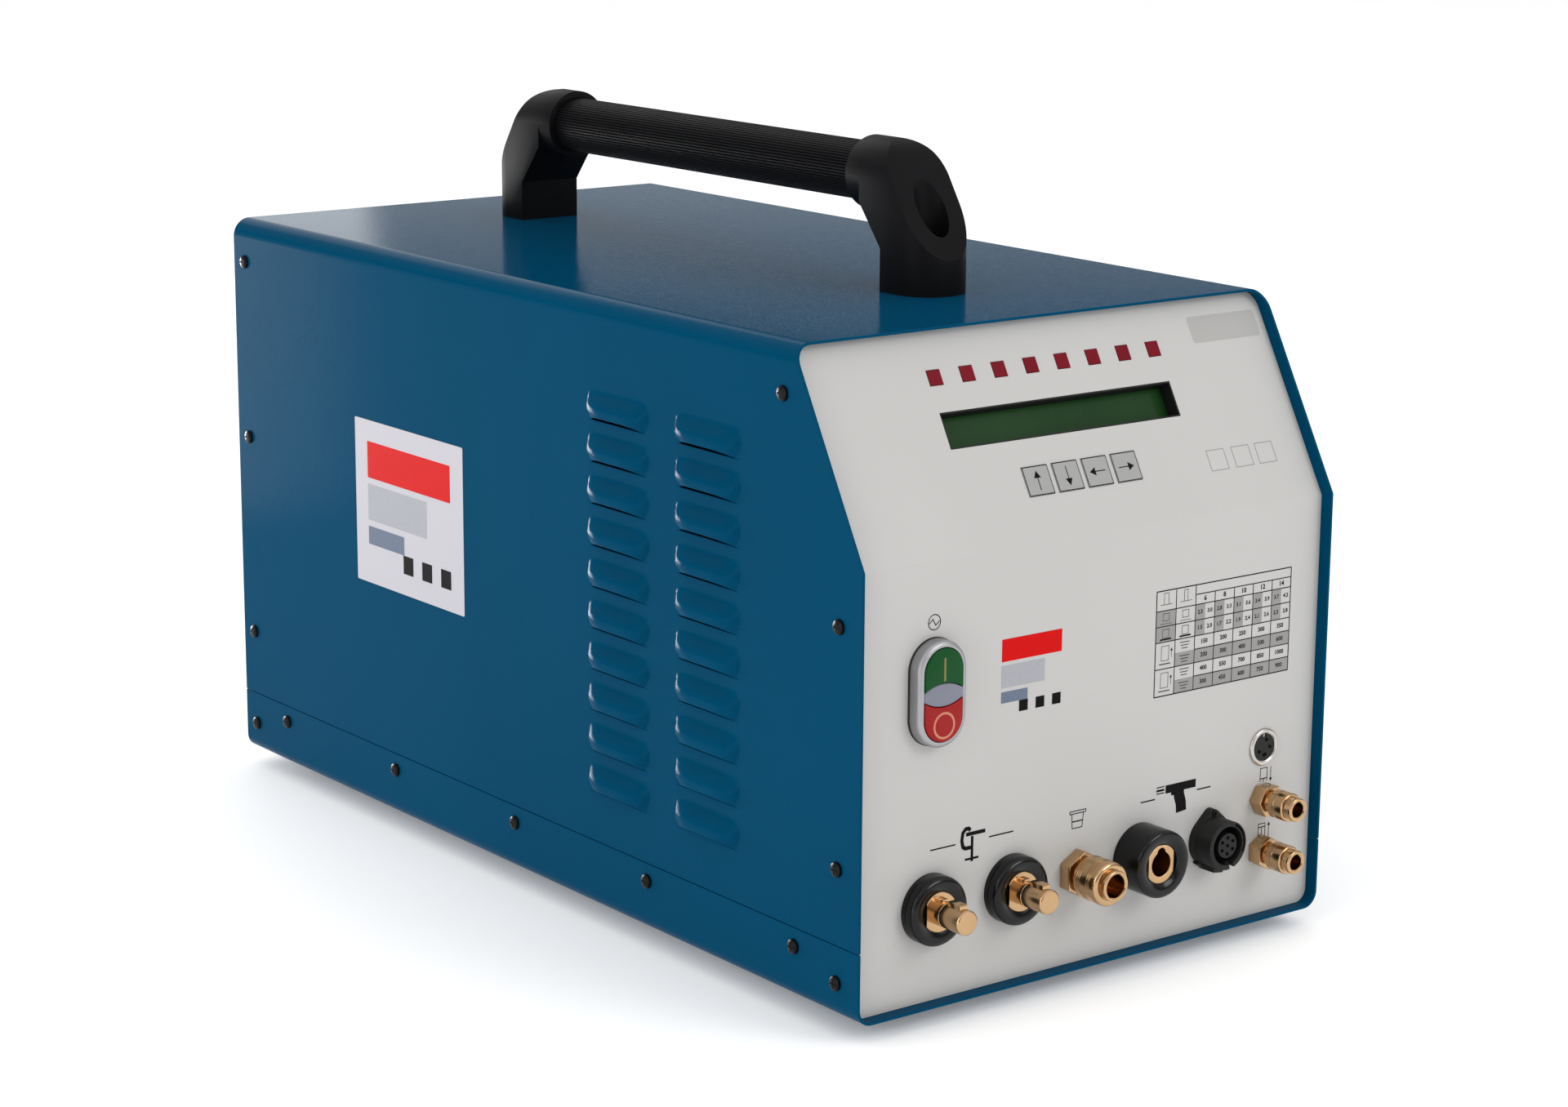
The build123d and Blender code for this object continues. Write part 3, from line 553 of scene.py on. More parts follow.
# %% [markdown]
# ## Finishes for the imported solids
# Many solids already have the right shape: panels, keys, lamps, the fan and the power pieces inside.
# They stay as they are and only get a finish. The record names a material slot for each of them, so one
# small table from slot to finish dresses them all.

# %% Dress the solids by slot
FINISH_OF_SLOT = {
    "case_paint": PAINT, "panel_paint": FILM, "foot_rubber": RUBBER, "handle_plastic": HANDLE,
    "collar_plastic": COLLAR, "brass": BRASS, "bright_metal": BRIGHT, "socket_plastic": SOCKET,
    "lens_plastic": LENS, "green_cap": GREEN, "red_cap": RED, "key_plastic": KEY, "lamp_plastic": LAMP,
    "lcd_glass": GLASS, "circuit_board": BOARD, "black_part": BLACK, "sink_metal": ALUMINIUM,
    "core_steel": CORE, "winding_wire": COPPER, "steel": STEEL,
}
for subpart in frame["record"]["subparts"]:
    mesh = nodes[subpart["node"]].data
    mesh.materials.clear()
    mesh.materials.append(FINISH_OF_SLOT[subpart["material_slot"]])

# %% [markdown]
# ## Carrying handle
# The grip is an extruded tube with fine lengthwise ribs, plugged into two moulded brackets. The ribs
# come from one circle whose every fourth point is moved in before it is drawn out. The brackets are
# copies of their solids with rounded edges, because a moulding never leaves the tool with sharp ones.

# %% Softened copies of solids
SHARP = math.radians(28)


def softened(node, width, steps=3):
    """Copy of a solid in millimetres whose sharp edges are rounded."""
    shape = bmesh.new()
    shape.from_mesh(nodes[node].data)
    bmesh.ops.scale(shape, vec=(1 / MM, 1 / MM, 1 / MM), verts=shape.verts)
    bmesh.ops.remove_doubles(shape, verts=shape.verts, dist=0.001)
    bmesh.ops.dissolve_limit(shape, angle_limit=math.radians(1), verts=shape.verts, edges=shape.edges)
    edges = [edge for edge in shape.edges if edge.is_manifold and edge.calc_face_angle(0.0) > SHARP]
    return ease(shape, edges, width, steps)


def soften(name, node, width, finish, body="housing", steps=3, crease=40):
    """Piece that stands for a solid and differs from it by its rounded edges."""
    piece = settle(name, softened(node, width, steps), finish, body, [node], crease)
    print(name, "faces", len(piece.data.polygons))


for end in ("front", "rear"):
    soften("bracket_" + end, "handle_bracket_" + end, 1.4, HANDLE)
soften("feet", "rubber_feet", 1.6, RUBBER, crease=34)

# %% Ribbed grip
GRIP = {"radius": 16.0, "groove": 0.7, "ribs": 62, "half": 156.5, "y": 28.75, "z": ROOF_Z + 59.5}
grip = bmesh.new()
circle = bmesh.ops.create_circle(grip, cap_ends=False, radius=GRIP["radius"], segments=4 * GRIP["ribs"])
valleys = circle["verts"][::4]
bmesh.ops.scale(grip, vec=(1 - GRIP["groove"] / GRIP["radius"],) * 3, verts=valleys)
drawn = bmesh.ops.extrude_edge_only(grip, edges=grip.edges)
bmesh.ops.translate(grip, vec=(0, 0, 2 * GRIP["half"]), verts=verts_of(drawn["geom"]))
bmesh.ops.recalc_face_normals(grip, faces=grip.faces)
placed(grip, board_at((0, GRIP["y"] + GRIP["half"], GRIP["z"]), (1, 0, 0), (0, 0, 1)))
grip_piece = settle("ribbed_grip", grip, HANDLE, stands_for=["handle_grip"], crease=20)
print("ribs", GRIP["ribs"], "faces", len(grip_piece.data.polygons))

# %% [markdown]
# ## Turned and round-ended pieces
# Collars, pins, couplings and gland are lathe work. A lathe shape is a stack of rings, each with a
# radius and a height, bridged one to the next. Pulling the two halves of every ring apart turns the
# same stack into the round-ended bezel of the double button.

# %% The lathe
def ring_of(shape, radius, segments, matrix):
    """Circle on a drawing: its points and its edges."""
    made = bmesh.ops.create_circle(shape, cap_ends=False, radius=radius, segments=segments, matrix=matrix)
    points = made["verts"]
    return points, unique(edge for vert in points for edge in vert.link_edges)


def turned(levels, straight=0.0, segments=96, hollow=False):
    """Piece from (radius, height) rings; hollow joins the last ring to the first instead of capping."""
    shape = bmesh.new()
    rings = []
    half_step = spin(math.pi / segments)
    for radius, height in levels:
        place = shift(0, 0, height) @ half_step
        points, edges = ring_of(shape, radius, segments, place)
        for vert in points:
            vert.co.y += math.copysign(straight / 2, vert.co.y)
        rings.append(edges)
    for lower, upper in zip(rings, rings[1:]):
        bmesh.ops.bridge_loops(shape, edges=lower + upper)
    if hollow:
        bmesh.ops.bridge_loops(shape, edges=rings[-1] + rings[0])
    else:
        bmesh.ops.edgeloop_fill(shape, edges=rings[0])
        bmesh.ops.edgeloop_fill(shape, edges=rings[-1])
    bmesh.ops.recalc_face_normals(shape, faces=shape.faces)
    return shape


def rounded(radius, height, size, steps=4):
    """Rings of a quarter-round edge that ends the wall at a radius and turns in at a height."""
    rings = []
    for step in range(steps + 1):
        angle = math.pi / 2 * step / steps
        rings.append((radius - size * (1 - math.cos(angle)), height - size + size * math.sin(angle)))
    return rings


def hexagon(across_flats, low, high, edge=0.7, turn=0.0):
    """Hexagon bar with rounded edges."""
    shape = bmesh.new()
    place = shift(0, 0, (low + high) / 2) @ spin(turn)
    radius = across_flats / math.sqrt(3)
    bmesh.ops.create_cone(shape, cap_ends=True, segments=6, radius1=radius, radius2=radius,
                          depth=high - low, matrix=place)
    return ease(shape, shape.edges[:], edge, 2)


def brick(width, length, low, high, y, edge):
    """Block with rounded edges."""
    shape = bmesh.new()
    size = Matrix.Diagonal((width, length, high - low, 1))
    place = shift(0, y, (low + high) / 2)
    bmesh.ops.create_cube(shape, size=1.0, matrix=place @ size)
    return ease(shape, shape.edges[:], edge, 2)


print("lathe ready")

# %% [markdown]
# ## Weld plugs and gun socket
# The current leaves through two bayonet pins and a bayonet socket. Each is a brass turning in a glossy
# black collar with a rounded rim and a dished front. The brass flanges have two milled flats, cut with
# a plane and filled again, and the pin carries the key that locks a cable plug by a quarter turn.

# %% Collars and bayonet pins
CONNECTOR_HEIGHT = 51.0
PLUG_X = {"left": -109.5, "right": -55.5}
GUN_X = 32.6
COLLAR_RADIUS, SEAT_RADIUS, COLLAR_BORE = 18.2, 10.65, 9.2
PIN_RADIUS = 6.5
FLAT = 8.8


def collar(depth, rim, dish_edge, base_line):
    """Black collar: wall, rounded rim, front that dips to the seat of the brass."""
    wall = [(COLLAR_RADIUS, 0.0)]
    if base_line:
        wall += [(COLLAR_RADIUS, 2.7), (17.75, 2.9), (17.75, 3.2), (COLLAR_RADIUS, 3.4)]
    ledge = depth - 3.0
    dish = [(14.2, depth - 0.1), (12.6, depth - 0.5), (SEAT_RADIUS, dish_edge), (SEAT_RADIUS, ledge)]
    bore = [(COLLAR_BORE, ledge), (COLLAR_BORE, 0.0)]
    return turned(wall + rounded(COLLAR_RADIUS, depth, rim) + dish + bore, hollow=True)


def with_flats(shape):
    """Mill two flats on a flange and close the cuts."""
    for side in (-1, 1):
        cut(shape, (side * FLAT, 0, 0), (side, 0, 0), clear=True)
        rim = [edge for edge in shape.edges if edge.is_boundary]
        bmesh.ops.holes_fill(shape, edges=rim, sides=0)
    return shape


def bayonet_pin():
    flange = with_flats(turned([(10.5, 6.6), (10.5, 8.6), (10.1, 9.0)]))
    neck = [(PIN_RADIUS, 14.6), (6.3, 14.8), (6.3, 15.2), (PIN_RADIUS, 15.4)]
    barrel = turned([(PIN_RADIUS, 8.9)] + neck + [(PIN_RADIUS, 28.9), (6.3, 29.5), (5.7, 30.0)])
    key = brick(5.0, 8.7, 17.0, 27.0, 4.35, 0.6)
    root = brick(5.0, 7.6, 8.9, 11.5, 3.8, 0.5)
    return joined([flange, barrel, key, root, hexagon(14.0, -20.0, 6.6)])


for side, x in PLUG_X.items():
    seat = on_panel(x, CONNECTOR_HEIGHT)
    settle("plug_collar_" + side, placed(collar(9.6, 3.2, 8.2, True), seat), COLLAR,
           stands_for=["weld_collar_" + side])
    settle("plug_pin_" + side, placed(bayonet_pin(), seat), BRASS, stands_for=["weld_pin_" + side])
print("plugs at", list(PLUG_X.values()))

# %% Gun socket
gun_collar = placed(collar(19.6, 2.2, 17.7, False), on_panel(GUN_X, CONNECTOR_HEIGHT))
settle("gun_collar", gun_collar, COLLAR, stands_for=["gun_socket_collar"])
soften("gun_insert", "gun_socket_insert", 0.4, BRASS)

# %% [markdown]
# ## Quick couplings
# Shielding gas leaves through a large quick coupling, cooling air through two small ones. Each has a
# hexagon, a barrel with a bore, and a sleeve that is pulled back to let go of the plug. The sleeve is
# its own piece because it slides, and its grip grooves are simply more rings on the lathe.

# %% Couplings
GAS_X, AIR_X = -11.5, 121.5
GAS_GROOVES = (12.8, 13.9, 15.0, 20.2, 21.3, 22.4)
AIR_GROOVES = (16.0,)
NOSE_GROOVES = (24.0, 25.0, 26.0)


def grooves(radius, heights, depth, width):
    """Rings of round grooves cut into a wall."""
    profile = ((-0.5, 0.0), (-0.3, 0.8), (0.0, 1.0), (0.3, 0.8), (0.5, 0.0))
    return [(radius - deep * depth, height + along * width)
            for height in heights for along, deep in profile]


def sleeve(bore, radius, low, high, groove_heights, rim):
    wall = [(bore, low), (radius - 0.5, low), (radius, low + 0.5)]
    wall += grooves(radius, groove_heights, 0.5, 0.8) + rounded(radius, high, rim)
    return turned(wall + [(bore, high)], hollow=True)


def gas_body():
    neck = [(10.6, 7.3), (10.6, 7.48), (8.3, 7.5), (8.3, 28.2), (7.6, 28.4), (7.6, 29.0), (8.3, 29.2)]
    mouth = rounded(8.3, 31.0, 0.7) + [(6.8, 31.0), (6.2, 30.4), (6.2, 9.5)]
    return joined([turned(neck + mouth), hexagon(22.0, 0.0, 7.5, 0.6)])


def air_body(turn):
    neck = [(5.7, 8.4), (5.7, 22.9), (6.5, 23.0)] + grooves(6.5, NOSE_GROOVES, 0.4, 0.7)
    mouth = rounded(6.5, 28.0, 0.8) + [(4.75, 28.0), (4.15, 27.4), (4.15, 10.5)]
    return joined([turned(neck + mouth), hexagon(16.0, 0.0, 8.5, 0.5, turn)])


seat = on_panel(GAS_X, CONNECTOR_HEIGHT)
settle("gas_body", placed(gas_body(), seat), BRASS, stands_for=["gas_coupling_body"])
settle("gas_sleeve_ring", placed(sleeve(8.42, 11.7, 11.0, 27.5, GAS_GROOVES, 2.0), seat), BRASS,
       "gas_sleeve", ["gas_coupling_sleeve"])
for level, height, turn in (("upper", 66.6, math.pi / 6), ("lower", 37.4, 0.0)):
    seat = on_panel(AIR_X, height)
    settle("air_body_" + level, placed(air_body(turn), seat), BRASS,
           stands_for=[f"air_coupling_{level}_body"])
    settle("air_ring_" + level, placed(sleeve(5.82, 7.8, 11.8, 22.8, AIR_GROOVES, 0.9), seat), BRASS,
           f"air_{level}_sleeve", [f"air_coupling_{level}_sleeve"])
print("three couplings, each with its sleeve")

# %% [markdown]
# ## Control and signal sockets
# The control cable of the gun plugs into a black moulded socket with a screw ear, seven contacts and a
# coupling slot. Above the air couplings sits a small round signal socket in a bright ring. The contacts
# are short turned tubes with a real hole in front, so that light falls into it; their near-black colour
# is painted shade that stands for the shade in those holes.

# %% Sockets
CONTROL_X = 82.5
CONTROL_FACE, SIGNAL_FACE = 15.1, 0.9
SIGNAL_HEIGHT = 95.3
CONTACT_BORE, CONTACT_WALL = 0.6, 0.96
EAR_HEIGHT = 15.4


def contacts(places, depth, face):
    """Contact tubes that stand a little out of their insert, open in front, in near-black painted shade.
    """
    rings = [(CONTACT_WALL, -0.2), (CONTACT_WALL, depth), (CONTACT_BORE, depth), (CONTACT_BORE, 0.05)]
    spots = [shift(x, y, face) for x, y in places]
    return joined([placed(turned(rings, segments=20), spot) for spot in spots])


def around(count, radius, start):
    """Places on a circle."""
    angles = [start + step * 2 * math.pi / count for step in range(count)]
    return [(radius * math.cos(angle), radius * math.sin(angle)) for angle in angles]


seat = on_panel(CONTROL_X, CONNECTOR_HEIGHT)
soften("control_shell", "control_socket_shell", 0.5, SOCKET, steps=2)
pins = contacts(around(6, 4.4, 0.5) + [(0.0, 0.0)], 0.2, CONTROL_FACE)
settle("control_contacts", placed(pins, seat), SHADE_BLACK, crease=50)
ear_screw = turned([(1.7, 4.5), (1.7, 5.0), (1.4, 5.3), (0.9, 5.3), (0.9, 4.7)], segments=32)
settle("ear_screw", placed(ear_screw, seat @ shift(0, EAR_HEIGHT, 0)), SCREW)

seat = on_panel(AIR_X, SIGNAL_HEIGHT)
signal_rings = [(10.3, 0.0)] + rounded(10.3, 1.6, 1.2) + [(8.3, 1.55), (7.6, 1.0), (7.6, 0.0)]
settle("signal_ring", placed(turned(signal_rings, hollow=True), seat), NICKEL,
       stands_for=["signal_socket_ring"])
pins = contacts(around(5, 4.2, -2.6)[:4] + [(0.0, -4.4)], 0.3, SIGNAL_FACE)
settle("signal_contacts", placed(pins, seat), SHADE_BLACK, crease=50)
print("control and signal sockets placed")

# %% [markdown]
# ## Double push button
# One bright round-ended bezel holds two caps, green for on and red for off, and a pale lens between
# them. The bezel uses the lathe with its rings pulled apart. The caps are softened copies of their
# solids, so they keep their travel, and their marks ride on them.

# %% Bezel, caps and lens
BUTTON_X, BUTTON_HEIGHT = PLUG_X["left"], 163.0
STRAIGHT = 23.5
BEZEL_RADIUS, BEZEL_BORE = 15.5, 12.3
GASKET_TOP, BEZEL_TOP, CAP_TOP = 1.0, 8.4, 9.2
STEM_SLOT = 3.0
button_spot = on_panel(BUTTON_X, BUTTON_HEIGHT)
bezel = [(BEZEL_RADIUS, GASKET_TOP), (BEZEL_RADIUS, 3.6)]
bezel += rounded(BEZEL_RADIUS, BEZEL_TOP, 2.7, steps=6)
bezel += [(12.55, BEZEL_TOP), (BEZEL_BORE, BEZEL_TOP - 0.25), (BEZEL_BORE, 2.1)]
gasket = [(15.9, 0.0), (15.9, 0.8), (15.6, GASKET_TOP), (STEM_SLOT, GASKET_TOP), (STEM_SLOT, 0.0)]
for name, rings, finish, node in (("button_rim", bezel, BRIGHT, "button_bezel"),
                                  ("button_seal", gasket, RUBBER, "button_gasket")):
    settle(name, placed(turned(rings, STRAIGHT, hollow=True), button_spot), finish, stands_for=[node])
soften("cap_on", "on_button", 0.7, GREEN, "on_button")
soften("cap_off", "off_button", 0.7, RED, "off_button")
soften("lens", "button_lens", 0.5, LENS)

# %% [markdown]
# ## Printed marks
# The panel is screen printed: outlines of the plugs' tools, arrows, a table of settings. A print is a
# thin layer of ink, so it is drawn as flat strips, rings and wedges a few hundredths of a millimetre
# above the sheet. Strips come from a one-cell grid that is stretched, turned and moved.

# %% Print tools
HAIR = 0.5
LAYER = 0.004
PANEL = on_panel(0, 0)


def layer(shape):
    """Small height of the next patch of ink, so that patches that cross don't share a plane."""
    return LAYER * (len(shape.faces) % 5)


def strip(shape, x0, y0, x1, y1, width=HAIR):
    """Straight inked line between two points."""
    run = Vector((x1 - x0, y1 - y0, 0))
    place = shift((x0 + x1) / 2, (y0 + y1) / 2, layer(shape))
    turn = spin(math.atan2(run.y, run.x))
    bmesh.ops.create_grid(shape, x_segments=1, y_segments=1, size=0.5,
                          matrix=place @ turn @ Matrix.Diagonal((run.length, width, 1, 1)))


def path(shape, points, width=HAIR):
    """Inked lines through several points, with round joints and square ends."""
    for (x0, y0), (x1, y1) in zip(points, points[1:]):
        strip(shape, x0, y0, x1, y1, width)
    for x, y in points[1:-1]:
        spot(shape, x, y, width / 2)


def frame_of(shape, x0, y0, x1, y1, width=HAIR):
    path(shape, [(x0, y0), (x1, y0), (x1, y1), (x0, y1), (x0, y0), (x1, y0)], width)


def filled(shape, x0, y0, x1, y1):
    strip(shape, x0, (y0 + y1) / 2, x1, (y0 + y1) / 2, y1 - y0)


def spot(shape, x, y, radius, segments=16, turn=0.0):
    """Inked disc, or a wedge when it has three corners."""
    place = shift(x, y, layer(shape)) @ spin(turn)
    bmesh.ops.create_circle(shape, cap_ends=True, radius=radius, segments=segments, matrix=place)


def circle_line(shape, x, y, radius, width):
    place = shift(x, y, 0)
    inner, outer = [ring_of(shape, size, 64, place)[1] for size in (radius - width, radius)]
    bmesh.ops.bridge_loops(shape, edges=inner + outer)


def arrow(shape, x, y, length, degrees, head, width):
    """Arrow with its middle at a point, flying in a direction."""
    angle = math.radians(degrees)
    way = Vector((math.cos(angle), math.sin(angle)))
    tail = Vector((x, y)) - way * length / 2
    neck = Vector((x, y)) + way * (length / 2 - head)
    strip(shape, *tail, *neck, width)
    spot(shape, *neck, head, 3, angle - math.pi / 2)


def number(shape, text, x, y, height):
    """Plain digits, made a mesh before they are placed."""
    curve = bpy.data.curves.new("digits", "FONT")
    curve.body = text
    curve.size = height / 0.7
    curve.align_x, curve.align_y = "CENTER", "CENTER"
    curve.resolution_u = 2
    curve.offset = 0.04 * height
    holder = bpy.data.objects.new("digits", curve)
    mesh = bpy.data.meshes.new_from_object(holder)
    mesh.transform(shift(x, y, 0))
    shape.from_mesh(mesh)
    bpy.data.objects.remove(holder)
    bpy.data.curves.remove(curve)
    bpy.data.meshes.remove(mesh)


def print_on(name, shape, finish, matrix, body="housing", lift=0.06):
    """Lay a flat drawing on a surface, all its faces towards the eye."""
    shape.normal_update()
    bmesh.ops.reverse_faces(shape, faces=[face for face in shape.faces if face.normal.z < 0])
    return settle(name, placed(shape, matrix @ shift(0, 0, lift)), finish, body)


print("print tools ready")

# %% [markdown]
# ## Marks over the plugs
# Each connector has a small picture of what it serves: a work clamp over the pins, a ceramic ferrule
# over the gas coupling, the gun over its socket, a small cylinder with an arrow over each air coupling.
# They are drawn in the panel's own millimetres, measured from the middle and the bottom of the case.

# %% Clamp, ferrule and gun
DASH = 0.75
clamp = bmesh.new()
for left, right in ((-109.6, -93.1), (-71.1, -54.9)):
    strip(clamp, left, 80.9, right, 80.9, DASH)
path(clamp, [(-83.4, 86.6), (-84.6, 87.8), (-86.6, 87.8), (-88.4, 86.0), (-89.0, 82.0), (-88.2, 78.6),
             (-86.6, 77.6), (-82.4, 77.6)], 2.1)
strip(clamp, -86.3, 84.8, -73.6, 84.8, 2.0)
strip(clamp, -82.2, 83.5, -82.2, 70.2, 1.7)
strip(clamp, -86.8, 71.7, -77.8, 71.7, 1.2)
print_on("mark_clamp", clamp, INK, PANEL)

ferrule = bmesh.new()
frame_of(ferrule, -16.6, 82.4, -5.6, 83.8)
path(ferrule, [(-15.2, 82.4), (-14.8, 74.6), (-8.0, 74.6), (-7.2, 82.4)])
strip(ferrule, -15.0, 78.2, -7.6, 78.2, 0.7)
print_on("mark_ferrule", ferrule, INK, PANEL)

gun = bmesh.new()
for left, right in ((32.9, 43.1), (73.4, 83.3)):
    strip(gun, left, 79.9, right, 79.9, DASH)
filled(gun, 50.5, 81.7, 72.3, 86.2)
for height, width in ((85.9, 0.6), (84.1, 1.2), (82.5, 0.6)):
    strip(gun, 44.0, height, 49.6, height, width)
path(gun, [(60.3, 83.5), (60.3, 79.5), (61.8, 75.0), (62.3, 70.0)], 7.3)
filled(gun, 54.6, 80.0, 58.0, 81.8)
print_on("mark_gun", gun, INK, PANEL)
print("three pictures over the plugs")

# %% Cylinders, arrows and the mains sign
for level, low, way in (("upper", 77.4, -90), ("lower", 46.2, 90)):
    picture = bmesh.new()
    path(picture, [(120.2, low - 1.6), (120.2, low + 5.8), (125.3, low + 5.8), (125.3, low - 1.6)], 0.45)
    piston = low + (0.0 if way < 0 else 3.9)
    strip(picture, 120.2, piston, 125.3, piston, 0.55)
    strip(picture, 122.7, piston, 122.7, low - 2.2, 0.45)
    arrow(picture, 128.0, low + 1.8, 8.4, way, 1.3, 0.4)
    print_on("mark_air_" + level, picture, INK, PANEL)

mains = bmesh.new()
circle_line(mains, -109.2, 198.1, 4.1, 0.5)
path(mains, [(-112.6, 197.6), (-110.2, 199.7), (-108.4, 196.4), (-105.9, 198.5)], 0.5)
print_on("mark_mains", mains, INK, PANEL)
cap_face = button_spot @ shift(0, 0, CAP_TOP)
on_bar = bmesh.new()
strip(on_bar, 0.0, 7.2, 0.0, 19.0, 1.3)
print_on("mark_on", on_bar, TAN_INK, cap_face, "on_button", 0.04)
off_ring = bmesh.new()
circle_line(off_ring, 0.0, -15.4, 6.9, 1.2)
print_on("mark_off", off_ring, PALE_INK, cap_face, "off_button", 0.04)
print("air, mains, on and off marks")

# %% [markdown]
# ## Key arrows and the blank plates
# The four keys carry arrows and a thin dark outline. Their ink rides on the key bodies, or it would
# stay behind when a key is pressed. A plain grey plate sits at the top of the slope, and three pale
# squares beside the keys.

# %% Keys and plates
KEY_ROW = 32.0
for name, x, degrees in (("up", -30, 90), ("down", -10, -90), ("left", 10, 180), ("right", 30, 0)):
    legend = bmesh.new()
    frame_of(legend, -8.15, -7.5, 8.15, 7.5, 0.4)
    arrow(legend, 0.0, 0.0, 10.5, degrees, 2.6, 0.5)
    print_on("legend_" + name, legend, INK, on_slope(x, KEY_ROW) @ shift(0, 0, 0.5),
             "key_" + name, 0.04)


def plate(width, height, corner):
    """Thin flat plate with round corners."""
    shape = bmesh.new()
    filled(shape, -width / 2, -height / 2, width / 2, height / 2)
    return ease(shape, shape.verts[:], corner, 4, "VERTICES")


print_on("blank_plate", plate(49.0, 14.8, 1.5), PLATE_INK, on_slope(128.5, 99.8))
for x in (93.5, 111.5, 128.5):
    square = bmesh.new()
    frame_of(square, -6.2, -5.6, 6.2, 5.6, 0.4)
    print_on("square_" + str(int(x)), square, CELL_INK, on_slope(x, 28.0))
print("key legends and blank plates")

# %% [markdown]
# ## Table of settings
# A table of plain numbers helps to set the machine: five columns for the stud's diameter, and rows for
# lift, dip, time and current. Cells are grey or bare by turns. It is a grid of strips with the digits
# set in each cell, laid in layers so that ink lies over tint.

# %% The table
TABLE_LEFT, TABLE_TOP, COLUMN = 40.0, 192.0, 13.93
ROW_HEIGHTS = (5.2, 5.5, 8.4, 8.4, 7.2, 7.2, 7.3, 7.3)
row_tops = [TABLE_TOP - sum(ROW_HEIGHTS[:row]) for row in range(len(ROW_HEIGHTS) + 1)]
columns = [TABLE_LEFT + COLUMN * column for column in range(8)]
tint, grid, digits = bmesh.new(), bmesh.new(), bmesh.new()


def row_middle(row):
    return (row_tops[row] + row_tops[row + 1]) / 2


def tinted(row, left, right):
    filled(tint, left, row_tops[row + 1], right, row_tops[row])


frame_of(grid, columns[0], row_tops[-1], columns[7], row_tops[0], 0.6)
for row in range(1, 8):
    strip(grid, columns[2], row_tops[row], columns[7], row_tops[row])
for row in (2, 3, 4, 6):
    strip(grid, columns[0], row_tops[row], columns[2], row_tops[row])
for column in range(1, 7):
    strip(grid, columns[column], row_tops[-1], columns[column], row_tops[0 if column < 3 else 1])
for column in range(5):
    left, middle, right = columns[2 + column], columns[2 + column] + COLUMN / 2, columns[3 + column]
    number(digits, str(6 + 2 * column), middle, row_middle(1), 2.6)
    for row, first, step in ((2, 2.5, 0.3), (3, 1.5, 0.2)):
        tinted(row, left, middle)
        number(digits, f"{first + step * column:.1f}", (left + middle) / 2, row_middle(row), 2.1)
        number(digits, f"{first + 0.5 + step * column:.1f}", (middle + right) / 2, row_middle(row), 2.1)
    for row, first, step in ((4, 150, 50), (5, 200, 100), (6, 400, 150), (7, 300, 150)):
        if row % 2:
            tinted(row, left, right)
        number(digits, str(first + step * column), middle, row_middle(row), 2.3)
for row, column in ((2, 0), (3, 0), (5, 1), (7, 1)):
    tinted(row, columns[column], columns[column + 1])
print("table rows", len(ROW_HEIGHTS), "columns", len(columns) - 1)

# %% Stud pictures in the table
FINE = 0.25
for column, width in ((0, 3.2), (1, 2.4)):
    x, low = columns[column] + COLUMN / 2, row_tops[2] + 3.2
    frame_of(grid, x - width / 2, low, x + width / 2, row_tops[0] - 1.4, FINE)
    strip(grid, x - 4.2, low, x + 4.2, low, FINE)
    for row, lift, line in ((2, 1.56, FINE), (3, 0.84, 0.9)):
        low = row_tops[row + 1] + 1.4
        strip(grid, x - 4.0, low, x + 4.0, low, line)
        frame_of(grid, x - 2.2, low + lift, x + 2.2, low + 5.4, FINE)
for low, high in ((row_tops[6], row_tops[4]), (row_tops[8], row_tops[6])):
    x = columns[0] + COLUMN / 2
    frame_of(grid, x - 2.6, low + 4.4, x + 2.6, high - 2.2, FINE)
    arrow(grid, x + 4.6, (low + high) / 2 + 1.0, 5.0, 90, 1.0, FINE)
    strip(grid, x - 4.0, low + 2.6, x + 4.0, low + 2.6, 0.5)
for row in (4, 5, 6, 7):
    x, y = columns[1] + COLUMN / 2, row_middle(row)
    for rise in (-1.6, 0.0, 1.6):
        half = 2.8 + 0.4 * rise
        strip(grid, x - half, y + rise, x + half, y + rise, 0.4)
print_on("table_tint", tint, CELL_INK, PANEL, lift=0.05)
print_on("table_grid", grid, INK, PANEL, lift=0.08)
print_on("table_digits", digits, INK, PANEL, lift=0.1)
print("table printed")

# %% [markdown]
# ## Labels
# The left side carries a foil label, and the panel a small print of the same family. Both have plain
# level bands of red, grey and slate, of different lengths, with three black squares under them.

# %% Side label and panel bands
FOIL = 0.15
label_spot = on_side(-1, 108.5, 195.3)
foil = plate(117.0, 97.0, 1.0)
lifted = bmesh.ops.extrude_face_region(foil, geom=foil.faces[:])
bmesh.ops.translate(foil, vec=(0, 0, FOIL), verts=verts_of(lifted["geom"]))
bmesh.ops.recalc_face_normals(foil, faces=foil.faces)
settle("side_label", placed(foil, label_spot @ shift(0, 0, 0.02)), LABEL)


def bands(width, unit):
    """Level bands for a label: red, light grey, slate and black, each with its own length."""
    red, grey, slate, black = bmesh.new(), bmesh.new(), bmesh.new(), bmesh.new()
    left, right = -width / 2, width / 2
    filled(red, left, 1.2 * unit, right, 3.0 * unit)
    filled(grey, left, -0.9 * unit, left + 0.72 * width, 0.9 * unit)
    filled(slate, left, -2.1 * unit, left + 0.44 * width, -1.2 * unit)
    for square in range(3):
        x = right - (0.9 + 1.7 * square) * unit
        filled(black, x, -3.0 * unit, x + 0.9 * unit, -2.1 * unit)
    return (("red", red, RED_INK), ("grey", grey, GREY_INK), ("slate", slate, SLATE_INK),
            ("black", black, INK))


for name, shape, finish in bands(90.0, 12.0):
    print_on("side_band_" + name, shape, finish, label_spot, lift=FOIL + 0.06)
for name, shape, finish in bands(40.0, 6.5):
    print_on("panel_band_" + name, shape, finish, on_panel(-45.0, 163.0))
print("labels placed")

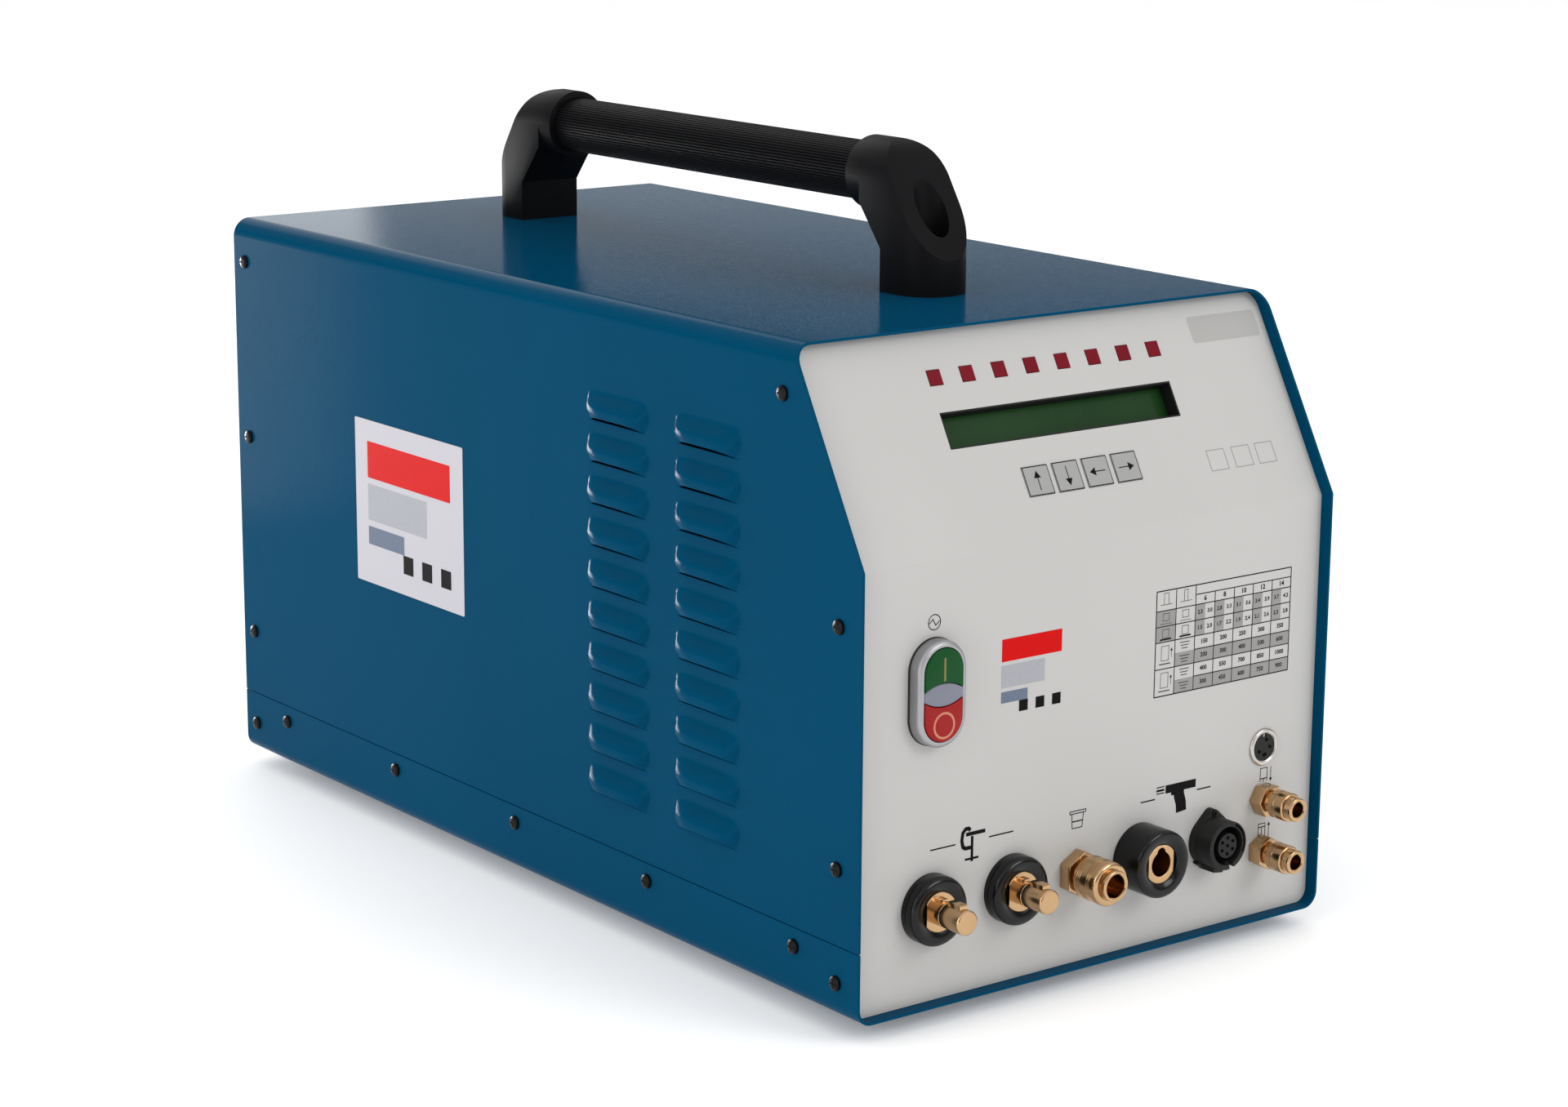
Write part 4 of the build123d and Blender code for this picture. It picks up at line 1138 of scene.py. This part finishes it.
# %% [markdown]
# ## Case screws
# Black cross-head screws hold hood and tray to the two panels and to each other. They differ only in
# size, so one low-count head serves every place: a column behind the front edge, a column before the
# rear edge, a row under the seam, two in the handle's wells and four on the fan.

# %% Screws
CASE_SCREW, WELL_SCREW = (4.0, 2.2), (6.5, 5.0)
FAN_SCREW = 52.5


def screw(radius, height):
    """Pan head on its drawing board."""
    profile = ((1.0, 0.0), (1.0, 0.3), (0.93, 0.68), (0.72, 0.92), (0.4, 1.0))
    return turned([(across * radius, up * height) for across, up in profile], segments=20)


def cross(radius, height):
    """Flat dark cross on the crown of a head: painted shade in place of the shaded cross recess."""
    shape = bmesh.new()
    strip(shape, -0.6 * radius, 0, 0.6 * radius, 0, 0.26 * radius)
    strip(shape, 0, -0.6 * radius, 0, 0.6 * radius, 0.26 * radius)
    return placed(shape, shift(0, 0, height + 0.02))


def side_screw_places():
    for side in (-1, 1):
        for z in (29.0, 88.0, 211.0, 319.0):
            yield on_side(side, REAR_Y - 13.6, z)
            back = 17.6 if z < BEND_Z else 17.6 / math.cos(LEAN) + (z - BEND_Z) * math.tan(LEAN)
            yield on_side(side, FRONT_Y + back, z)
        for y in (-256.0, -128.0, 0.0, 128.0, 256.0):
            yield on_side(side, y, 38.5)


places = list(side_screw_places())
places += [on_rear(x, 200.0 + z) for x in (-FAN_SCREW, FAN_SCREW) for z in (-FAN_SCREW, FAN_SCREW)]
screws = [(CASE_SCREW, place) for place in places]
for end in (-1, 1):
    well = board_at((0, GRIP["y"] + end * 191.0, ROOF_Z + 12.0), (1, 0, 0), (0, 1, 0))
    screws.append((WELL_SCREW, well))
heads = [placed(screw(*size), place) for size, place in screws]
crosses = [placed(cross(*size), place) for size, place in screws]
settle("screw_heads", joined(heads), SCREW)
# The crosses are flat near-black patches, painted shade for the shaded recesses of the heads.
settle("screw_crosses", joined(crosses), SHADE_BLACK)
print("screws", len(heads))

# %% [markdown]
# ## Rear fittings
# At the back a black gland takes the mains cable, and two brass nipples take gas and air hoses. The
# nipples get the saw-tooth barbs that hold a hose, and the gland's cap gets the ribs that fingers turn
# it by.

# %% Gland and nipples
def hexagon_ring(across_flats, bore, length):
    """Hexagon nut with an open bore."""
    radius = across_flats / math.sqrt(3)
    rings = [(radius, 0.0), (radius, length), (bore, length), (bore, 0.0)]
    return placed(turned(rings, segments=6, hollow=True), spin(-math.pi / 6))


def gland():
    rings = [(12.6, 5.8), (13.0, 7.0), (13.0, 16.5), (12.0, 19.5), (10.4, 21.6), (9.2, 22.0),
             (8.2, 21.6), (8.0, 20.6), (8.0, 0.0), (12.0, 0.0)]
    cap = turned(rings, segments=64, hollow=True)
    turns = [spin(step * math.pi / 12) for step in range(24)]
    ribs = [placed(brick(1.3, 1.0, 7.2, 16.3, 12.75, 0.2), turn) for turn in turns]
    return joined([cap, hexagon_ring(30.0, 8.0, 6.0)] + ribs)


def hose_nipple():
    barbs = [(4.1, 6.8)]
    for low in (9.0, 14.0, 19.0):
        barbs += [(4.1, low), (5.0, low + 0.4), (4.3, low + 4.6)]
    tail = turned(barbs + [(4.2, 26.0), (3.9, 27.0), (3.0, 27.0), (2.8, 26.5), (2.8, 12.0)], segments=64)
    return joined([tail, hexagon(19.0, 0.0, 7.0, 0.6)])


FITTING_HEIGHT = 60.0
settle("mains_gland", placed(gland(), on_rear(-95.0, FITTING_HEIGHT)), BLACK, stands_for=["cable_gland"])
for name, x in (("gas_inlet", 40.0), ("air_inlet", 95.0)):
    seat = on_rear(x, FITTING_HEIGHT)
    settle(name + "_nipple", placed(hose_nipple(), seat), BRASS, stands_for=[name])
print("rear fittings placed")

# %% [markdown]
# ## Studio
# The object stands on a seamless white floor in a bright, even room, as in a catalogue. A large soft
# light from the front right makes the panel the brightest face, a fill from the left keeps the long
# side in its own blue, and a small low light behind it draws a bright rim on each louvre. The glossy
# roof mirrors a pale band of wall, which is why it looks greyer than the side.

# %% Floor and lights
WHITE, floor_shader, floor_place = new_finish("studio_floor", Specular_IOR_Level=0.2,
                                               Emission_Color=(1, 1, 1, 1), Emission_Strength=0.15)
floor_cloud = floor_place.noise(1.5, 2.0)
floor_tone = floor_cloud.mix((0.97, 0.97, 0.97, 1), (0.98, 0.98, 0.98, 1))
coat(floor_shader, floor_tone, 0.6 + floor_cloud * 0.1)
floor = bmesh.new()
bmesh.ops.create_grid(floor, x_segments=2, y_segments=2, size=40.0)
floor_piece = linked("floor", mesh_of("floor", floor, WHITE))

world = bpy.data.worlds.new("white_room")
bpy.context.scene.world = world
world.use_nodes = True
background = world.node_tree.nodes["Background"]
sky = Shade(world.node_tree, world.node_tree.nodes.new("ShaderNodeTexCoord").outputs["Generated"])
rise = sky.add("SeparateXYZ", {}, {"Vector": sky}, output="Z")
glow = rise.ramp((0.0, 0.8), (0.108, 0.8), (0.142, 0.05), (0.35, 0.4), (0.65, 0.86), (1.0, 0.9))
sky.feed(background.inputs["Color"], glow)
background.inputs["Strength"].default_value = 1.2


def soft_light(name, place, target, size, power):
    """Square area light aimed at a point."""
    light = bpy.data.lights.new(name, "AREA")
    light.size = size
    light.energy = power
    lamp = linked(name, light)
    lamp.location = place
    lamp.rotation_euler = (Vector(target) - Vector(place)).to_track_quat("-Z", "Y").to_euler()
    return lamp


soft_light("key", (0.9, -2.4, 1.5), (0.0, -0.25, 0.2), 1.2, 22.0)
soft_light("back_strip", (0.5, 2.6, 1.3), (0.0, 0.2, 0.3), 1.6, 10.0)
soft_light("left_fill", (-2.3, -0.4, 0.65), (-0.16, 0.0, 0.08), 1.8, 19.5)
rim = soft_light("louvre_rim", (-0.32, 0.95, 0.16), (-0.16, -0.14, 0.16), 0.5, 0.7)
rim.data.shape = "RECTANGLE"
rim.data.size_y = 0.3
rim.data.spread = math.radians(50)
bpy.context.scene.view_settings.view_transform = "Standard"
print("four soft lights and a white room")

# %% [markdown]
# ## Camera
# The place, aim and lens come from fitting a pinhole camera to the case's edges in the photograph, so
# the render can be laid over it. A small roll gives the case the same tilt as there.

# %% Camera
CAMERA_PLACE = (-1.1786, -1.5790, 0.6275)
CAMERA_AIM = (0.0, -0.0362, 0.1781)
FOCAL_LENGTH, ROLL = 80.41, math.radians(0.39)
camera_data = bpy.data.cameras.new("camera")
camera_data.lens = FOCAL_LENGTH
camera_data.sensor_width = 36.0
camera_data.sensor_fit = "HORIZONTAL"
camera_data.clip_end = 50.0
camera = linked("camera", camera_data)
camera.location = CAMERA_PLACE
aim = Vector(CAMERA_AIM) - camera.location
roll = Quaternion((0, 0, 1), ROLL)
camera.rotation_euler = (aim.to_track_quat("-Z", "Y") @ roll).to_euler()
bpy.context.scene.camera = camera
